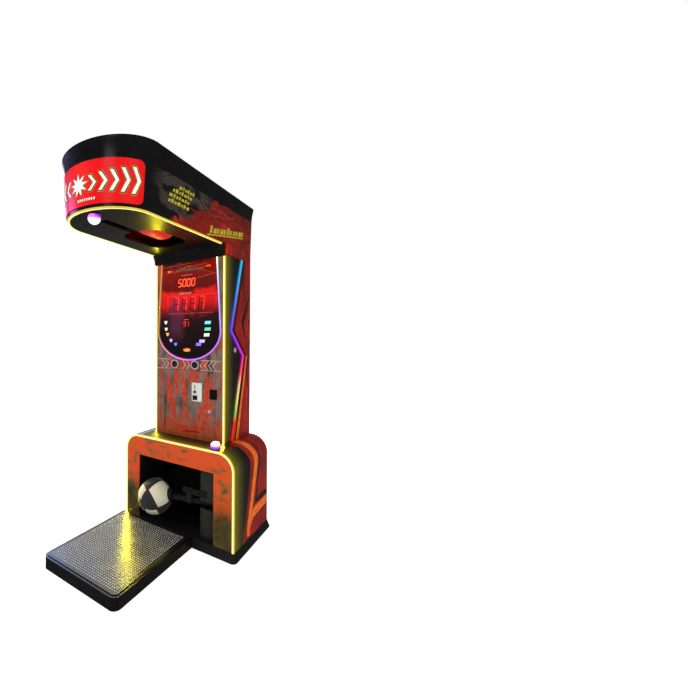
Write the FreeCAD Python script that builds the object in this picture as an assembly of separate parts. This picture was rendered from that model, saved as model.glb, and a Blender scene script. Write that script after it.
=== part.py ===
"""Boxing and kicking strength tester: a free-standing arcade cabinet.

Built in millimetres with +Z up. Widths are measured from the middle of the machine and depths
from the front face of the base (Y = 0, rearwards positive). Every piece is moved at the end so
that the origin lies at the middle of the floor area that the whole machine covers.
"""
import FreeCAD
import Part
import math
import os

V = FreeCAD.Vector
os.makedirs("parts", exist_ok=True)

# ---------------------------------------------------------------- driving sizes
# Base cabinet
BASE_HALF = 371.0          # outside half width
BASE_DEPTH = 441.0         # front face to rear face
BASE_TOP = 548.0           # height of the flat top
BASE_CORNER = 95.0         # outside radius of the two top corners
BASE_WALL = 15.0           # board thickness
PLINTH_HEIGHT = 50.0
PLINTH_FLARE = 14.0        # how far the skirt stands out at the floor
PLINTH_WALL = 12.0
FLOOR_GAP = 4.0            # skirt and boards stay this far above the floor
FLOOR_BOARD = 18.0
PLINTH_CORNER = 14.0       # radius of the skirt's front corners at its top edge
FOOT_X = 300.0             # feet stand this far either side of the middle
FOOT_INSET = 60.0          # and this far in from the front and rear faces
VENT_XS = (-180.0, 0.0)    # middles of the two rows of vent slots in the rear board
VENT_START = 180.0         # height of the lowest slot
VENT_COUNT = 7
VENT_PITCH = 26.0
VENT_GAP = 8.0
INLET_X = 250.0
INLET_Z = 120.0
SWITCH_X = 290.0

# Kick bay
BAY_LEFT = -264.0          # edges of the opening in the front panel
BAY_RIGHT = 252.0
BAY_TOP = 429.0
BAY_DEPTH = 345.0
BAY_SHEET = 2.0
BAY_MARGIN = 4.0           # liner stands back from the edge of the opening

# Column
COLUMN_HALF = 243.5        # outside half width of the carcass
COLUMN_FRONT = 134.0       # Y of the front face
COLUMN_WALL = 12.0
COLUMN_PANEL = 8.0         # front panel thickness
SIDE_PANEL = 12.0          # thickness of the coloured side panels
SHELF_Z = 960.0            # height of the shelf that carries the power supply
RECESS_TOP = 1598.0        # top of the stepped-back area on each side

# Head
HEAD_BOTTOM = 1648.0
SHOULDER = 1850.0          # joint between the side wall and the top moulding
TOTAL_HEIGHT = 1930.0
HEAD_WALL = 12.0
CAP_WALL = 8.0
NOSE_START = -472.0        # Y where the sides end and the round nose begins
BOTTOM_NOSE_HALF = 222.0
BOTTOM_NOSE_REACH = 190.0  # length of the round nose at the underside
SHOULDER_REAR_HALF = 262.0
SHOULDER_NOSE_HALF = 238.0
SHOULDER_NOSE_REACH = 195.0
TOP_REAR_HALF = 277.5
TOP_NOSE_HALF = 268.0
TOP_NOSE_REACH = 201.0
UNDERSIDE_SHEET = 12.0
WEDGE_REACH = 32.0         # sloping strip between the underside and the column
WEDGE_DROP = 58.0

# Bag slot in the underside
SLOT_HALF = 115.0
SLOT_FRONT = -332.0
SLOT_REAR = -10.0
SLOT_CORNER = 80.0
SLIT_HALF = 22.0
SLIT_FRONT = -536.0

# Punch bag and its arm
BAG_RADIUS = 95.0
BAG_PIVOT_Y = -500.0
BAG_CLEAR = 8.0            # stowed bag stays this far above the underside's lower face
BAG_NECK = 205.0           # pivot to the neck of the bag
BAG_REACH = 470.0          # pivot to the far end of the bag
ARM_WIDTH = 24.0
ARM_DEPTH = 30.0
SHAFT_RADIUS = 10.0
RUNNING_GAP = 0.05         # radial clearance of a hub on its shaft
HUB_WALL = 12.0
CHEEK_INNER = 40.0
CHEEK = 8.0
SIDE_PLAY = 0.4            # end clearance between a hub and what it turns beside

# Football kicker
BALL_RADIUS = 102.0
BALL_X = -145.0
BALL_Y = 10.0
BALL_Z = 203.0
KICK_PIVOT_X = 205.0
KICK_PIVOT_Y = 95.0
KICK_ARM = 28.0            # square tube
KICK_ARM_WALL = 3.0
KICK_ARM_Z = 227.0
KICK_HUB_HALF = 50.0       # half height of the hub
BRACKET_PLATE = 8.0
COVER_LEFT = 150.0
COVER_FRONT = 40.0
COVER_GAP = 20.0           # half height of the gap that the arm swings in
STOP_BAR_X = (36.0, 186.0)
STOP_BAR_RISE = (41.0, 73.0)       # bottom and top above the arm's middle
STOP_BUFFER_X = (58.0, 92.0)

# Light strips
STRIP = 12.0               # strip width on the cabinet edges
STRIP_DEPTH = 10.0
HEAD_STRIP = 10.0
HEAD_STRIP_DEPTH = 8.0
DISPLAY_STRIP = 8.0
DISPLAY_STRIP_PROUD = 5.0
SIDE_STRIP = 9.0
DOME_BAND = 28.0           # radius of the band under each dome light
DOME_RADIUS = 27.0
DOME_RISE = 16.0           # height of the band
HEAD_DOME = (32.0, -614.0)         # X and Y of the dome under the nose
BASE_DOME = (246.0, 32.0)          # X and Y of the dome on the base

# Display
DISPLAY_TOP_HALF = 190.0   # half width at the top edge
DISPLAY_LOW_HALF = 215.5   # half width where the round bottom begins
DISPLAY_BEND = 1176.0
DISPLAY_BOTTOM = 1011.0
GLASS = 5.0
DIGIT_DEPTH = 18.0
# Windows of the three digit displays: left, right, bottom, top
DIGIT_WINDOWS = ((-70, 54, 1438, 1494), (-140, 130, 1288, 1388), (-36, 12, 1204, 1238))
MARKER_REACH = 150.0       # the row of markers swings this far either side of its middle
MARKER_DROP = 145.0
MARKER_MIDDLE = -12.0
MARKER_STEP = 14.2         # degrees from one marker to the next
MARKER_COUNT = 5           # on each side

# Buttons and service door
BUTTON_XS = (-95.0, 50.0)
BUTTON_Z = 979.0
BEZEL_RADIUS = 27.0
BUTTON_RADIUS = 19.0
BUTTON_PROUD = 7.0
BUTTON_TRAVEL = 3.0
SLIDE_GAP = 0.4            # clearance round sliding buttons
DOOR_LEFT = -170.0
DOOR_RIGHT = 184.0
DOOR_BOTTOM = 561.0
DOOR_TOP = 946.0
DOOR_SHEET = 3.0
DOOR_GAP = 2.0
KNUCKLE_RADIUS = 4.5
PIN_RADIUS = 2.5
COIN_X = (31.0, 99.0)
COIN_Z = (768.0, 876.0)
COIN_PLATE = 4.0
LOCK_RADIUS = 9.5
LOCK_X = 149.0
LOCK_Z = 719.0
COIN_SLOT = (52.0, 838.0, 866.0)   # middle X, bottom, top
COIN_SLOT_WIDTH = 6.0
REJECT_X = 53.0
REJECT_Z = 823.0
REJECT_RADIUS = 7.0
POCKET_X = (36.0, 70.0)
POCKET_Z = (774.0, 802.0)
POCKET_DEPTH = 40.0
GUARD_X = (152.0, 197.0)
GUARD_Z = (790.0, 845.0)
GUARD_INSET = 7.5          # its screws sit this far in from its edges

# Inside the column
CASH_BOX_X = (-70.0, 130.0)
CASH_BOX_Y = (180.0, 360.0)
CASH_BOX_TOP = 690.0
CASH_BOX_WALL = 3.0
SUPPLY_X = (-110.0, -10.0)
SUPPLY_Y = (300.0, 340.0)
SUPPLY_HEIGHT = 200.0

# Rear door
REAR_DOOR_TOP = 1652.0
REAR_DOOR_SHEET = 8.0
REAR_KNUCKLE_RADIUS = 5.0
REAR_HINGE_LENGTH = 60.0
REAR_LOCK_INSET = 30.0
REAR_VENT_START = 1380.0
REAR_VENT_COUNT = 6

# Marquee
MARQUEE_LOW = 1668.0
MARQUEE_HIGH = 1842.0
MARQUEE_END = -523.0       # Y of the two ends, on the sides of the nose
MARQUEE_SHEET = 4.0
MARQUEE_CORNER = 24.0

# Standing platform
PLATFORM_LEFT = -375.0
PLATFORM_RIGHT = 130.0
PLATFORM_FRONT = -588.0
PLATFORM_HEIGHT = 62.0
PLATFORM_CORNER = 36.0
PLATFORM_BORDER = 12.0
PLATE_SHEET = 4.0
PLATFORM_WALL = 30.0

FOOT_RADIUS = 20.0
PAD_RADIUS = 12.0          # rubber pads under the platform's rim
BOLT_RADIUS = 5.0
FRAME_TUBE = 40.0
FRAME_TUBE_WALL = 3.0
FRAME_X = 90.0
TOUCH_GAP = 0.3            # kept between pieces of different moving bodies

# ---------------------------------------------------------------- derived places
SIDE_OUT = COLUMN_HALF + SIDE_PANEL
FRONT_REACH = NOSE_START - TOP_NOSE_REACH
REAR_REACH = BASE_DEPTH + PLINTH_FLARE
ORIGIN_SHIFT = -(FRONT_REACH + REAR_REACH) / 2
BAG_PIVOT_Z = HEAD_BOTTOM + BAG_CLEAR + BAG_RADIUS
KICK_REACH = math.hypot(BALL_X - KICK_PIVOT_X, BALL_Y - KICK_PIVOT_Y)
KICK_ANGLE = math.degrees(math.atan2(BALL_Y - KICK_PIVOT_Y, BALL_X - KICK_PIVOT_X))
LINER_LEFT = BAY_LEFT - BAY_MARGIN
LINER_RIGHT = BAY_RIGHT + BAY_MARGIN
LINER_TOP = BAY_TOP + BAY_MARGIN
WEDGE_BOTTOM = HEAD_BOTTOM - WEDGE_DROP
COLUMN_IN = COLUMN_HALF - COLUMN_WALL
FRAME_TOP = SHOULDER + 46
DOOR_FACE = COLUMN_FRONT - TOUCH_GAP
HINGE_X = DOOR_LEFT - DOOR_GAP
HINGE_Y = COLUMN_FRONT - KNUCKLE_RADIUS - TOUCH_GAP
REAR_HINGE_X = COLUMN_IN
REAR_HINGE_Y = BASE_DEPTH + REAR_KNUCKLE_RADIUS + TOUCH_GAP


# ---------------------------------------------------------------- helpers
def box(x0, x1, y0, y1, z0, z1):
    return Part.makeBox(x1 - x0, y1 - y0, z1 - z0, V(x0, y0, z0))


def rod(radius, start, end):
    """Cylinder between two points."""
    line = V(*end) - V(*start)
    return Part.makeCylinder(radius, line.Length, V(*start), line)


def prism(points, direction):
    """Flat polygon pushed along a direction."""
    corners = [V(*p) for p in points]
    face = Part.Face(Part.makePolygon(corners + corners[:1]))
    return face.extrude(V(*direction))


def rounded_plate(x0, x1, y0, y1, z0, z1, radius):
    """Plate with its four upright edges rounded."""
    plate = box(x0, x1, y0, y1, z0, z1)
    upright = [e for e in plate.Edges if abs(e.Vertexes[0].Z - e.Vertexes[-1].Z) > 1e-6]
    return plate.makeFillet(radius, upright)


def mirrored(shape):
    return shape.mirror(V(0, 0, 0), V(1, 0, 0))


def group(shapes):
    return Part.makeCompound(shapes)


def save(name, shape):
    moved = shape.copy()
    moved.translate(V(0, ORIGIN_SHIFT, 0))
    moved.exportStep("parts/" + name + ".step")


# ---------------------------------------------------------------- base cabinet
def arch_face(inset, y, foot):
    """Upright face at depth y inside the base outline, moved in by inset."""
    half = BASE_HALF - inset
    top = BASE_TOP - inset
    r = BASE_CORNER - inset
    d = r * math.sqrt(0.5)
    edges = [
        Part.LineSegment(V(-half, y, foot), V(-half, y, top - r)),
        Part.Arc(V(-half, y, top - r), V(-half + r - d, y, top - r + d), V(-half + r, y, top)),
        Part.LineSegment(V(-half + r, y, top), V(half - r, y, top)),
        Part.Arc(V(half - r, y, top), V(half - r + d, y, top - r + d), V(half, y, top - r)),
        Part.LineSegment(V(half, y, top - r), V(half, y, foot)),
        Part.LineSegment(V(half, y, foot), V(-half, y, foot)),
    ]
    return Part.Face(Part.Wire([e.toShape() for e in edges]))


def arch_block(inset, y0, y1, foot):
    return arch_face(inset, y0, foot).extrude(V(0, y1 - y0, 0))


def make_plinth():
    """Skirt that flares out towards the floor, with round front corners, open inside."""
    def ring(grow, z):
        x = BASE_HALF + grow
        r = PLINTH_CORNER + grow
        d = r * math.sqrt(0.5)
        front, back = -grow, BASE_DEPTH + grow
        edges = [
            Part.LineSegment(V(-x + r, front, z), V(x - r, front, z)),
            Part.Arc(V(x - r, front, z), V(x - r + d, front + r - d, z), V(x, front + r, z)),
            Part.LineSegment(V(x, front + r, z), V(x, back, z)),
            Part.LineSegment(V(x, back, z), V(-x, back, z)),
            Part.LineSegment(V(-x, back, z), V(-x, front + r, z)),
            Part.Arc(V(-x, front + r, z), V(-x + r - d, front + r - d, z), V(-x + r, front, z)),
        ]
        return Part.Wire([e.toShape() for e in edges])
    outer = Part.makeLoft([ring(PLINTH_FLARE, FLOOR_GAP), ring(0, PLINTH_HEIGHT)], True, True)
    hollow = box(-BASE_HALF + PLINTH_WALL, BASE_HALF - PLINTH_WALL, PLINTH_WALL,
                 BASE_DEPTH - PLINTH_WALL, 0, PLINTH_HEIGHT - FLOOR_BOARD)
    seat = box(-BASE_HALF + PLINTH_WALL, BASE_HALF - PLINTH_WALL, PLINTH_WALL,
               BASE_DEPTH - PLINTH_WALL, PLINTH_HEIGHT - FLOOR_BOARD, PLINTH_HEIGHT)
    return outer.cut(hollow).cut(seat)


def make_base():
    save("plinth_skirt", make_plinth().cut(platform_bolts(BOLT_RADIUS, 0)))
    save("base_floor", box(-BASE_HALF + PLINTH_WALL, BASE_HALF - PLINTH_WALL, PLINTH_WALL,
                           BASE_DEPTH - PLINTH_WALL, PLINTH_HEIGHT - FLOOR_BOARD, PLINTH_HEIGHT))
    spring_line = BASE_TOP - BASE_CORNER
    side = box(BASE_HALF - BASE_WALL, BASE_HALF, STRIP_DEPTH, BASE_DEPTH, PLINTH_HEIGHT, spring_line)
    save("base_side_right", side)
    save("base_side_left", mirrored(side))
    shell = arch_block(0, STRIP_DEPTH, BASE_DEPTH, PLINTH_HEIGHT)
    shell = shell.cut(arch_block(BASE_WALL, 0, BASE_DEPTH + 1, 0))
    above = box(-BASE_HALF, BASE_HALF, 0, BASE_DEPTH, spring_line, BASE_TOP)
    save("base_top_arch", shell.common(above))
    band = arch_block(0, 0, STRIP_DEPTH, PLINTH_HEIGHT)
    save("led_base", band.cut(arch_block(STRIP, -1, STRIP_DEPTH + 1, PLINTH_HEIGHT - 1)))
    front = arch_block(STRIP, 2, STRIP_DEPTH, PLINTH_HEIGHT)
    opening = box(BAY_LEFT, BAY_RIGHT, 0, STRIP_DEPTH + 1, PLINTH_HEIGHT - 1, BAY_TOP)
    save("base_front_panel", front.cut(opening))
    save("base_rear_panel", make_rear_panel())
    save("power_inlet", make_inlet())
    save("power_switch", make_switch())
    feet = []
    for x in (-FOOT_X, FOOT_X):
        for y in (FOOT_INSET, BASE_DEPTH - FOOT_INSET):
            pad = rod(FOOT_RADIUS, (x, y, 0), (x, y, 10))
            stud = rod(6, (x, y, 10), (x, y, PLINTH_HEIGHT - FLOOR_BOARD))
            feet.append(pad.fuse(stud))
    rim = PLATFORM_WALL / 2
    for x in (PLATFORM_LEFT + PLATFORM_CORNER, PLATFORM_RIGHT - PLATFORM_CORNER):
        for y in (PLATFORM_FRONT + rim, -PLINTH_FLARE - rim):
            feet.append(rod(PAD_RADIUS, (x, y, 0), (x, y, FLOOR_GAP)))
    save("feet", group(feet))


def make_rear_panel():
    """Rear board of the base with two rows of vent slots and the mains cut-outs."""
    y0 = BASE_DEPTH - BASE_WALL
    panel = arch_block(BASE_WALL, y0, BASE_DEPTH, PLINTH_HEIGHT)
    for x in VENT_XS:
        for i in range(VENT_COUNT):
            z = VENT_START + VENT_PITCH * i
            panel = panel.cut(box(x - 60, x + 60, y0 - 1, BASE_DEPTH + 1, z, z + VENT_GAP))
    panel = panel.cut(box(INLET_X - 14, INLET_X + 14, y0 - 1, BASE_DEPTH + 1, INLET_Z - 10, INLET_Z + 10))
    return panel.cut(box(SWITCH_X - 11, SWITCH_X + 11, y0 - 1, BASE_DEPTH + 1, INLET_Z - 14, INLET_Z + 14))


def make_inlet():
    """Mains inlet: a flanged socket with a recess that takes the plug of a loose lead."""
    body = box(INLET_X - 13.5, INLET_X + 13.5, BASE_DEPTH - 40, BASE_DEPTH, INLET_Z - 9.5, INLET_Z + 9.5)
    flange = box(INLET_X - 17, INLET_X + 17, BASE_DEPTH, BASE_DEPTH + 3, INLET_Z - 13, INLET_Z + 13)
    recess = box(INLET_X - 11, INLET_X + 11, BASE_DEPTH - 17, BASE_DEPTH + 4, INLET_Z - 7, INLET_Z + 7)
    socket = body.fuse(flange).cut(recess)
    for dx in (-6, 0, 6):
        blade = box(INLET_X + dx - 1, INLET_X + dx + 1, BASE_DEPTH - 17, BASE_DEPTH - 4,
                    INLET_Z - 2.5, INLET_Z + 2.5)
        socket = socket.fuse(blade)
    return socket


def make_switch():
    """Rocker that tips about a cross axis in its cut-out."""
    drum = rod(12, (SWITCH_X - 9, BASE_DEPTH - 5, INLET_Z), (SWITCH_X + 9, BASE_DEPTH - 5, INLET_Z))
    nose = box(SWITCH_X - 9, SWITCH_X + 9, BASE_DEPTH - 5, BASE_DEPTH + 9, INLET_Z - 9, INLET_Z + 9)
    return drum.common(nose).fuse(rod(5, (SWITCH_X - 9, BASE_DEPTH - 5, INLET_Z),
                                      (SWITCH_X + 9, BASE_DEPTH - 5, INLET_Z)))


# ---------------------------------------------------------------- kick bay
def make_bay():
    s = BAY_SHEET
    floor = PLINTH_HEIGHT
    outer = box(LINER_LEFT - s, LINER_RIGHT + s, STRIP_DEPTH, BAY_DEPTH, floor, LINER_TOP + s)
    inner = box(LINER_LEFT, LINER_RIGHT, STRIP_DEPTH - 1, BAY_DEPTH - s, floor + s, LINER_TOP)
    save("bay_liner", outer.cut(inner))
    top = LINER_TOP
    low = floor + s
    right = LINER_RIGHT
    covers = []
    for z0, z1 in ((low, KICK_ARM_Z - COVER_GAP), (KICK_ARM_Z + COVER_GAP, top)):
        face = box(COVER_LEFT, right, COVER_FRONT, COVER_FRONT + s, z0, z1)
        cheek = box(COVER_LEFT, COVER_LEFT + s, COVER_FRONT, COVER_FRONT + 190, z0, z1)
        covers.append(face.fuse(cheek))
    save("pivot_cover", group(covers))
    px, py = KICK_PIVOT_X, KICK_PIVOT_Y
    save("kicker_shaft", rod(SHAFT_RADIUS, (px, py, low), (px, py, top)))
    bracket = []
    for z in (KICK_ARM_Z - KICK_HUB_HALF - SIDE_PLAY - BRACKET_PLATE, KICK_ARM_Z + KICK_HUB_HALF + SIDE_PLAY):
        plate = box(px - 32, right, py - 32, py + 32, z, z + BRACKET_PLATE)
        bracket.append(plate.cut(rod(SHAFT_RADIUS, (px, py, z - 1), (px, py, z + BRACKET_PLATE + 1))))
    save("kicker_bracket", group(bracket))
    save("kicker_arm", make_kicker_arm())
    ball = Part.makeSphere(BALL_RADIUS, V(BALL_X, BALL_Y, BALL_Z))
    save("kicker_ball", ball)
    bar_low, bar_high = (KICK_ARM_Z + rise for rise in STOP_BAR_RISE)
    bar = box(STOP_BAR_X[0], STOP_BAR_X[1], COVER_FRONT - 6, COVER_FRONT, bar_low, bar_high)
    bolt_z = (bar_low + bar_high) / 2
    for x in (STOP_BAR_X[0] + 26, STOP_BAR_X[1] - 48):
        bar = bar.fuse(rod(7, (x, COVER_FRONT - 12, bolt_z), (x, COVER_FRONT - 6, bolt_z)))
    save("stop_bar", bar)
    left, right = STOP_BUFFER_X
    block = box(left, right, COVER_FRONT - 6, COVER_FRONT + 40, KICK_ARM_Z - 12, bar_low)
    keep_out = kicker_bar(KICK_ARM / 2 + TOUCH_GAP, 0, KICK_REACH)
    cut = block.cut(keep_out)
    front_solid = min(cut.Solids, key=lambda s: s.CenterOfMass.y)
    save("stop_buffer", front_solid.common(box(left, right, COVER_FRONT - 6, COVER_FRONT + 12,
                                               KICK_ARM_Z - 12, bar_low)))


def kicker_bar(half, start, end):
    """Square bar along the kicker arm's line, from one distance off the pivot to another."""
    bar = box(start, end, -half, half, KICK_ARM_Z - half, KICK_ARM_Z + half)
    bar.rotate(V(0, 0, 0), V(0, 0, 1), KICK_ANGLE)
    bar.translate(V(KICK_PIVOT_X, KICK_PIVOT_Y, 0))
    return bar


def make_kicker_arm():
    px, py = KICK_PIVOT_X, KICK_PIVOT_Y
    z0 = KICK_ARM_Z - KICK_HUB_HALF
    z1 = KICK_ARM_Z + KICK_HUB_HALF
    hub = rod(SHAFT_RADIUS + HUB_WALL, (px, py, z0), (px, py, z1))
    bar = kicker_bar(KICK_ARM / 2, 0, KICK_REACH - BALL_RADIUS / 2)
    bore = rod(SHAFT_RADIUS + RUNNING_GAP, (px, py, z0 - 1), (px, py, z1 + 1))
    step = V(math.cos(math.radians(KICK_ANGLE)), math.sin(math.radians(KICK_ANGLE)), 0)
    pad_start = V(px, py, KICK_ARM_Z) + step * (KICK_REACH - BALL_RADIUS - 10)
    pad = Part.makeCylinder(34, 30, pad_start, step)
    ball = Part.makeSphere(BALL_RADIUS, V(BALL_X, BALL_Y, BALL_Z))
    return hub.fuse(bar).fuse(pad).cut(bore).cut(ball)


# ---------------------------------------------------------------- column
def make_side_panels():
    """Coloured side panel; its front edge steps back in a zigzag below the head."""
    edge = zigzag()
    pts = [(COLUMN_HALF, COLUMN_FRONT, HEAD_BOTTOM + HEAD_STRIP_DEPTH),
           (COLUMN_HALF, COLUMN_FRONT, RECESS_TOP)]
    pts += [(COLUMN_HALF, y, z) for y, z in edge]
    pts += [(COLUMN_HALF, BASE_DEPTH, BASE_TOP),
            (COLUMN_HALF, BASE_DEPTH, HEAD_BOTTOM + HEAD_STRIP_DEPTH)]
    panel = prism(pts, (SIDE_PANEL, 0, 0))
    save("side_panel_right", panel)
    save("side_panel_left", mirrored(panel))
    w = SIDE_STRIP
    outer = [(COLUMN_HALF, y, z) for y, z in edge]
    inner = [(COLUMN_HALF, y - w, z) for y, z in edge]
    strip = prism(outer + inner[::-1], (SIDE_PANEL - 3, 0, 0))
    save("led_sides", group([strip, mirrored(strip)]))


def zigzag():
    """Front edge of a side panel below the head, from the recess top to the base."""
    return [(340, RECESS_TOP), (203, 1180), (362, 1031), (222, BASE_TOP)]


def display_outline(grow, y):
    """Shield outline: sides that widen downwards, and a round bottom."""
    top = V(DISPLAY_TOP_HALF + grow, y, WEDGE_BOTTOM)
    bend = V(DISPLAY_LOW_HALF + grow, y, DISPLAY_BEND)
    arc = Part.Arc(V(-1, 0, 0), V(0, 0, -1), V(1, 0, 0)).toShape()
    stretch = FreeCAD.Matrix()
    stretch.scale(V(DISPLAY_LOW_HALF + grow, 1, DISPLAY_BEND - DISPLAY_BOTTOM + grow))
    stretch.move(V(0, y, DISPLAY_BEND))
    bowl = arc.transformGeometry(stretch)
    left_bend = V(-bend.x, y, bend.z)
    left_top = V(-top.x, y, top.z)
    edges = [Part.LineSegment(left_top, left_bend).toShape(), bowl,
             Part.LineSegment(bend, top).toShape(), Part.LineSegment(top, left_top).toShape()]
    return Part.Face(Part.Wire(edges))


def display_block(grow, y0, y1):
    return display_outline(grow, y0).extrude(V(0, y1 - y0, 0))


def make_column():
    y0 = COLUMN_FRONT + STRIP_DEPTH
    side = box(COLUMN_IN, COLUMN_HALF, y0, BASE_DEPTH, BASE_TOP, HEAD_BOTTOM + HEAD_STRIP_DEPTH)
    shelf = box(-COLUMN_IN, COLUMN_IN, y0 + 40, BASE_DEPTH - 80, SHELF_Z, SHELF_Z + 6)
    save("column_carcass", side.fuse(shelf).fuse(mirrored(side)))
    strip = box(COLUMN_IN, COLUMN_HALF, COLUMN_FRONT, y0, BASE_TOP, WEDGE_BOTTOM)
    save("led_columns", group([strip, mirrored(strip)]))
    back = COLUMN_FRONT + COLUMN_PANEL
    panel = box(-COLUMN_IN, COLUMN_IN, COLUMN_FRONT, back, BASE_TOP, HEAD_BOTTOM)
    hole = box(DOOR_LEFT - DOOR_GAP, DOOR_RIGHT + DOOR_GAP, COLUMN_FRONT - 1, back + 1,
               DOOR_BOTTOM - DOOR_GAP, DOOR_TOP + DOOR_GAP)
    half_strip = DISPLAY_STRIP / 2
    panel = panel.cut(hole).cut(display_block(-half_strip, COLUMN_FRONT - 1, back + 1))
    for x in BUTTON_XS:
        panel = panel.cut(rod(BUTTON_RADIUS + SLIDE_GAP, (x, COLUMN_FRONT - 1, BUTTON_Z),
                              (x, back + 1, BUTTON_Z)))
    save("column_front", panel)
    proud = COLUMN_FRONT - DISPLAY_STRIP_PROUD
    ring = display_block(half_strip, proud, COLUMN_FRONT)
    save("led_display", ring.cut(display_block(-half_strip, proud - 1, COLUMN_FRONT + 1))
         .cut(box(-COLUMN_HALF, COLUMN_HALF, proud - 1, COLUMN_FRONT + 1, WEDGE_BOTTOM - 9, HEAD_BOTTOM)))
    save("display_glass", display_block(-half_strip, COLUMN_FRONT, COLUMN_FRONT + GLASS))
    depth = COLUMN_FRONT + GLASS
    digits = []
    for x0, x1, z0, z1 in DIGIT_WINDOWS:
        digits.append(box(x0, x1, depth, depth + DIGIT_DEPTH, z0, z1))
    save("digit_modules", group(digits))
    save("indicator_lenses", group(make_indicators()))
    save("power_supply", box(SUPPLY_X[0], SUPPLY_X[1], SUPPLY_Y[0], SUPPLY_Y[1],
                             SHELF_Z + 6, SHELF_Z + 6 + SUPPLY_HEIGHT))
    save("cash_box", make_cash_box())


def make_indicators():
    """Backlit markers that follow the lower curve of the display."""
    y0 = COLUMN_FRONT - 1.5
    y1 = COLUMN_FRONT
    lenses = []
    for i in range(MARKER_COUNT):
        turn = math.radians(MARKER_STEP * i)
        x = MARKER_REACH * math.cos(turn)
        z = DISPLAY_BEND + 52 - MARKER_DROP * math.sin(turn)
        lenses.append(rod(11, (MARKER_MIDDLE - x, y0, z), (MARKER_MIDDLE - x, y1, z)))
        middle = MARKER_MIDDLE + x
        lenses.append(box(middle - 20, middle + 20, y0, y1, z - 10, z + 10))
    lenses.append(box(MARKER_MIDDLE - 24, MARKER_MIDDLE + 24, y0, y1,
                      DISPLAY_BOTTOM + 45, DISPLAY_BOTTOM + 68))
    return lenses


def make_cash_box():
    """Steel box, open at the top."""
    w = CASH_BOX_WALL
    (x0, x1), (y0, y1) = CASH_BOX_X, CASH_BOX_Y
    outer = box(x0, x1, y0, y1, BASE_TOP, CASH_BOX_TOP)
    return outer.cut(box(x0 + w, x1 - w, y0 + w, y1 - w, BASE_TOP + w, CASH_BOX_TOP + 1))


# ---------------------------------------------------------------- buttons and service door
def make_buttons():
    bezels = []
    for name, x in zip(("button_left", "button_right"), BUTTON_XS):
        face = COLUMN_FRONT
        ring = rod(BEZEL_RADIUS, (x, face - BUTTON_PROUD + 2, BUTTON_Z), (x, face, BUTTON_Z))
        ring = ring.cut(rod(BUTTON_RADIUS + SLIDE_GAP, (x, face - 20, BUTTON_Z), (x, face + 20, BUTTON_Z)))
        bezels.append(ring)
        cap = rod(BUTTON_RADIUS, (x, face - BUTTON_PROUD - 1, BUTTON_Z), (x, face + 12, BUTTON_Z))
        save(name, cap)
    save("button_bezels", group(bezels))


def knuckles(x, y, z0, z1, radius, count, mine):
    """Every second knuckle of a hinge barrel; mine is 0 or 1."""
    step = (z1 - z0) / count
    barrels = []
    for i in range(mine, count, 2):
        bottom = z0 + step * i + TOUCH_GAP / 2
        barrels.append(rod(radius, (x, y, bottom), (x, y, z0 + step * (i + 1) - TOUCH_GAP / 2)))
    return barrels


def make_service_door():
    y0, y1 = COLUMN_FRONT, COLUMN_FRONT + DOOR_SHEET
    door = box(DOOR_LEFT, DOOR_RIGHT, y0, y1, DOOR_BOTTOM, DOOR_TOP)
    z0, z1 = DOOR_BOTTOM + 30, DOOR_TOP - 30
    leaf = box(HINGE_X + 1, HINGE_X + 14, DOOR_FACE - 2, y0, z0, z1)
    axle = rod(PIN_RADIUS + RUNNING_GAP, (HINGE_X, HINGE_Y, z0 - 1), (HINGE_X, HINGE_Y, z1 + 1))
    barrel_room = rod(KNUCKLE_RADIUS + TOUCH_GAP, (HINGE_X, HINGE_Y, z0 - 1), (HINGE_X, HINGE_Y, z1 + 1))
    door = door.fuse(leaf).cut(barrel_room)
    for barrel in knuckles(HINGE_X, HINGE_Y, z0, z1, KNUCKLE_RADIUS, 7, 1):
        base = barrel.BoundBox
        web = box(HINGE_X, HINGE_X + 12, DOOR_FACE - 2, DOOR_FACE, base.ZMin, base.ZMax)
        door = door.fuse(barrel).fuse(web)
    door = door.cut(axle)
    door = door.cut(rod(LOCK_RADIUS + RUNNING_GAP, (LOCK_X, y0 - 9, LOCK_Z), (LOCK_X, y1 + 1, LOCK_Z)))
    slot, reject, pocket = coin_cuts()
    door = door.cut(slot).cut(reject).cut(pocket_outer())
    save("service_door", door)
    root = []
    for barrel in knuckles(HINGE_X, HINGE_Y, z0, z1, KNUCKLE_RADIUS, 7, 0):
        base = barrel.BoundBox
        leaf = box(HINGE_X - 14, HINGE_X, COLUMN_FRONT - 2, COLUMN_FRONT, base.ZMin, base.ZMax)
        root.append(barrel.fuse(leaf))
    pin = rod(PIN_RADIUS, (HINGE_X, HINGE_Y, z0), (HINGE_X, HINGE_Y, z1))
    hinge = pin
    for piece in root:
        hinge = hinge.fuse(piece)
    save("service_hinge", hinge)
    barrel = rod(LOCK_RADIUS, (LOCK_X, y0 - 4, LOCK_Z), (LOCK_X, y1 + 14, LOCK_Z))
    cam = box(LOCK_X - 7, LOCK_X + 7, y1 + 11, y1 + 14, LOCK_Z, LOCK_Z + 46)
    key_way = box(LOCK_X - 1, LOCK_X + 1, y0 - 5, y0 - 1, LOCK_Z - 4, LOCK_Z + 4)
    save("service_lock", barrel.fuse(cam).cut(key_way))
    (x0, x1), (z0, z1) = GUARD_X, GUARD_Z
    guard = box(x0, x1, DOOR_FACE - 4, DOOR_FACE, z0, z1)
    for x in (x0 + GUARD_INSET, x1 - GUARD_INSET):
        for z in (z0 + GUARD_INSET, z1 - GUARD_INSET):
            guard = guard.fuse(rod(4.5, (x, DOOR_FACE - 8, z), (x, DOOR_FACE - 4, z)))
    save("lock_guard", guard)
    make_coin_parts()


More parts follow.
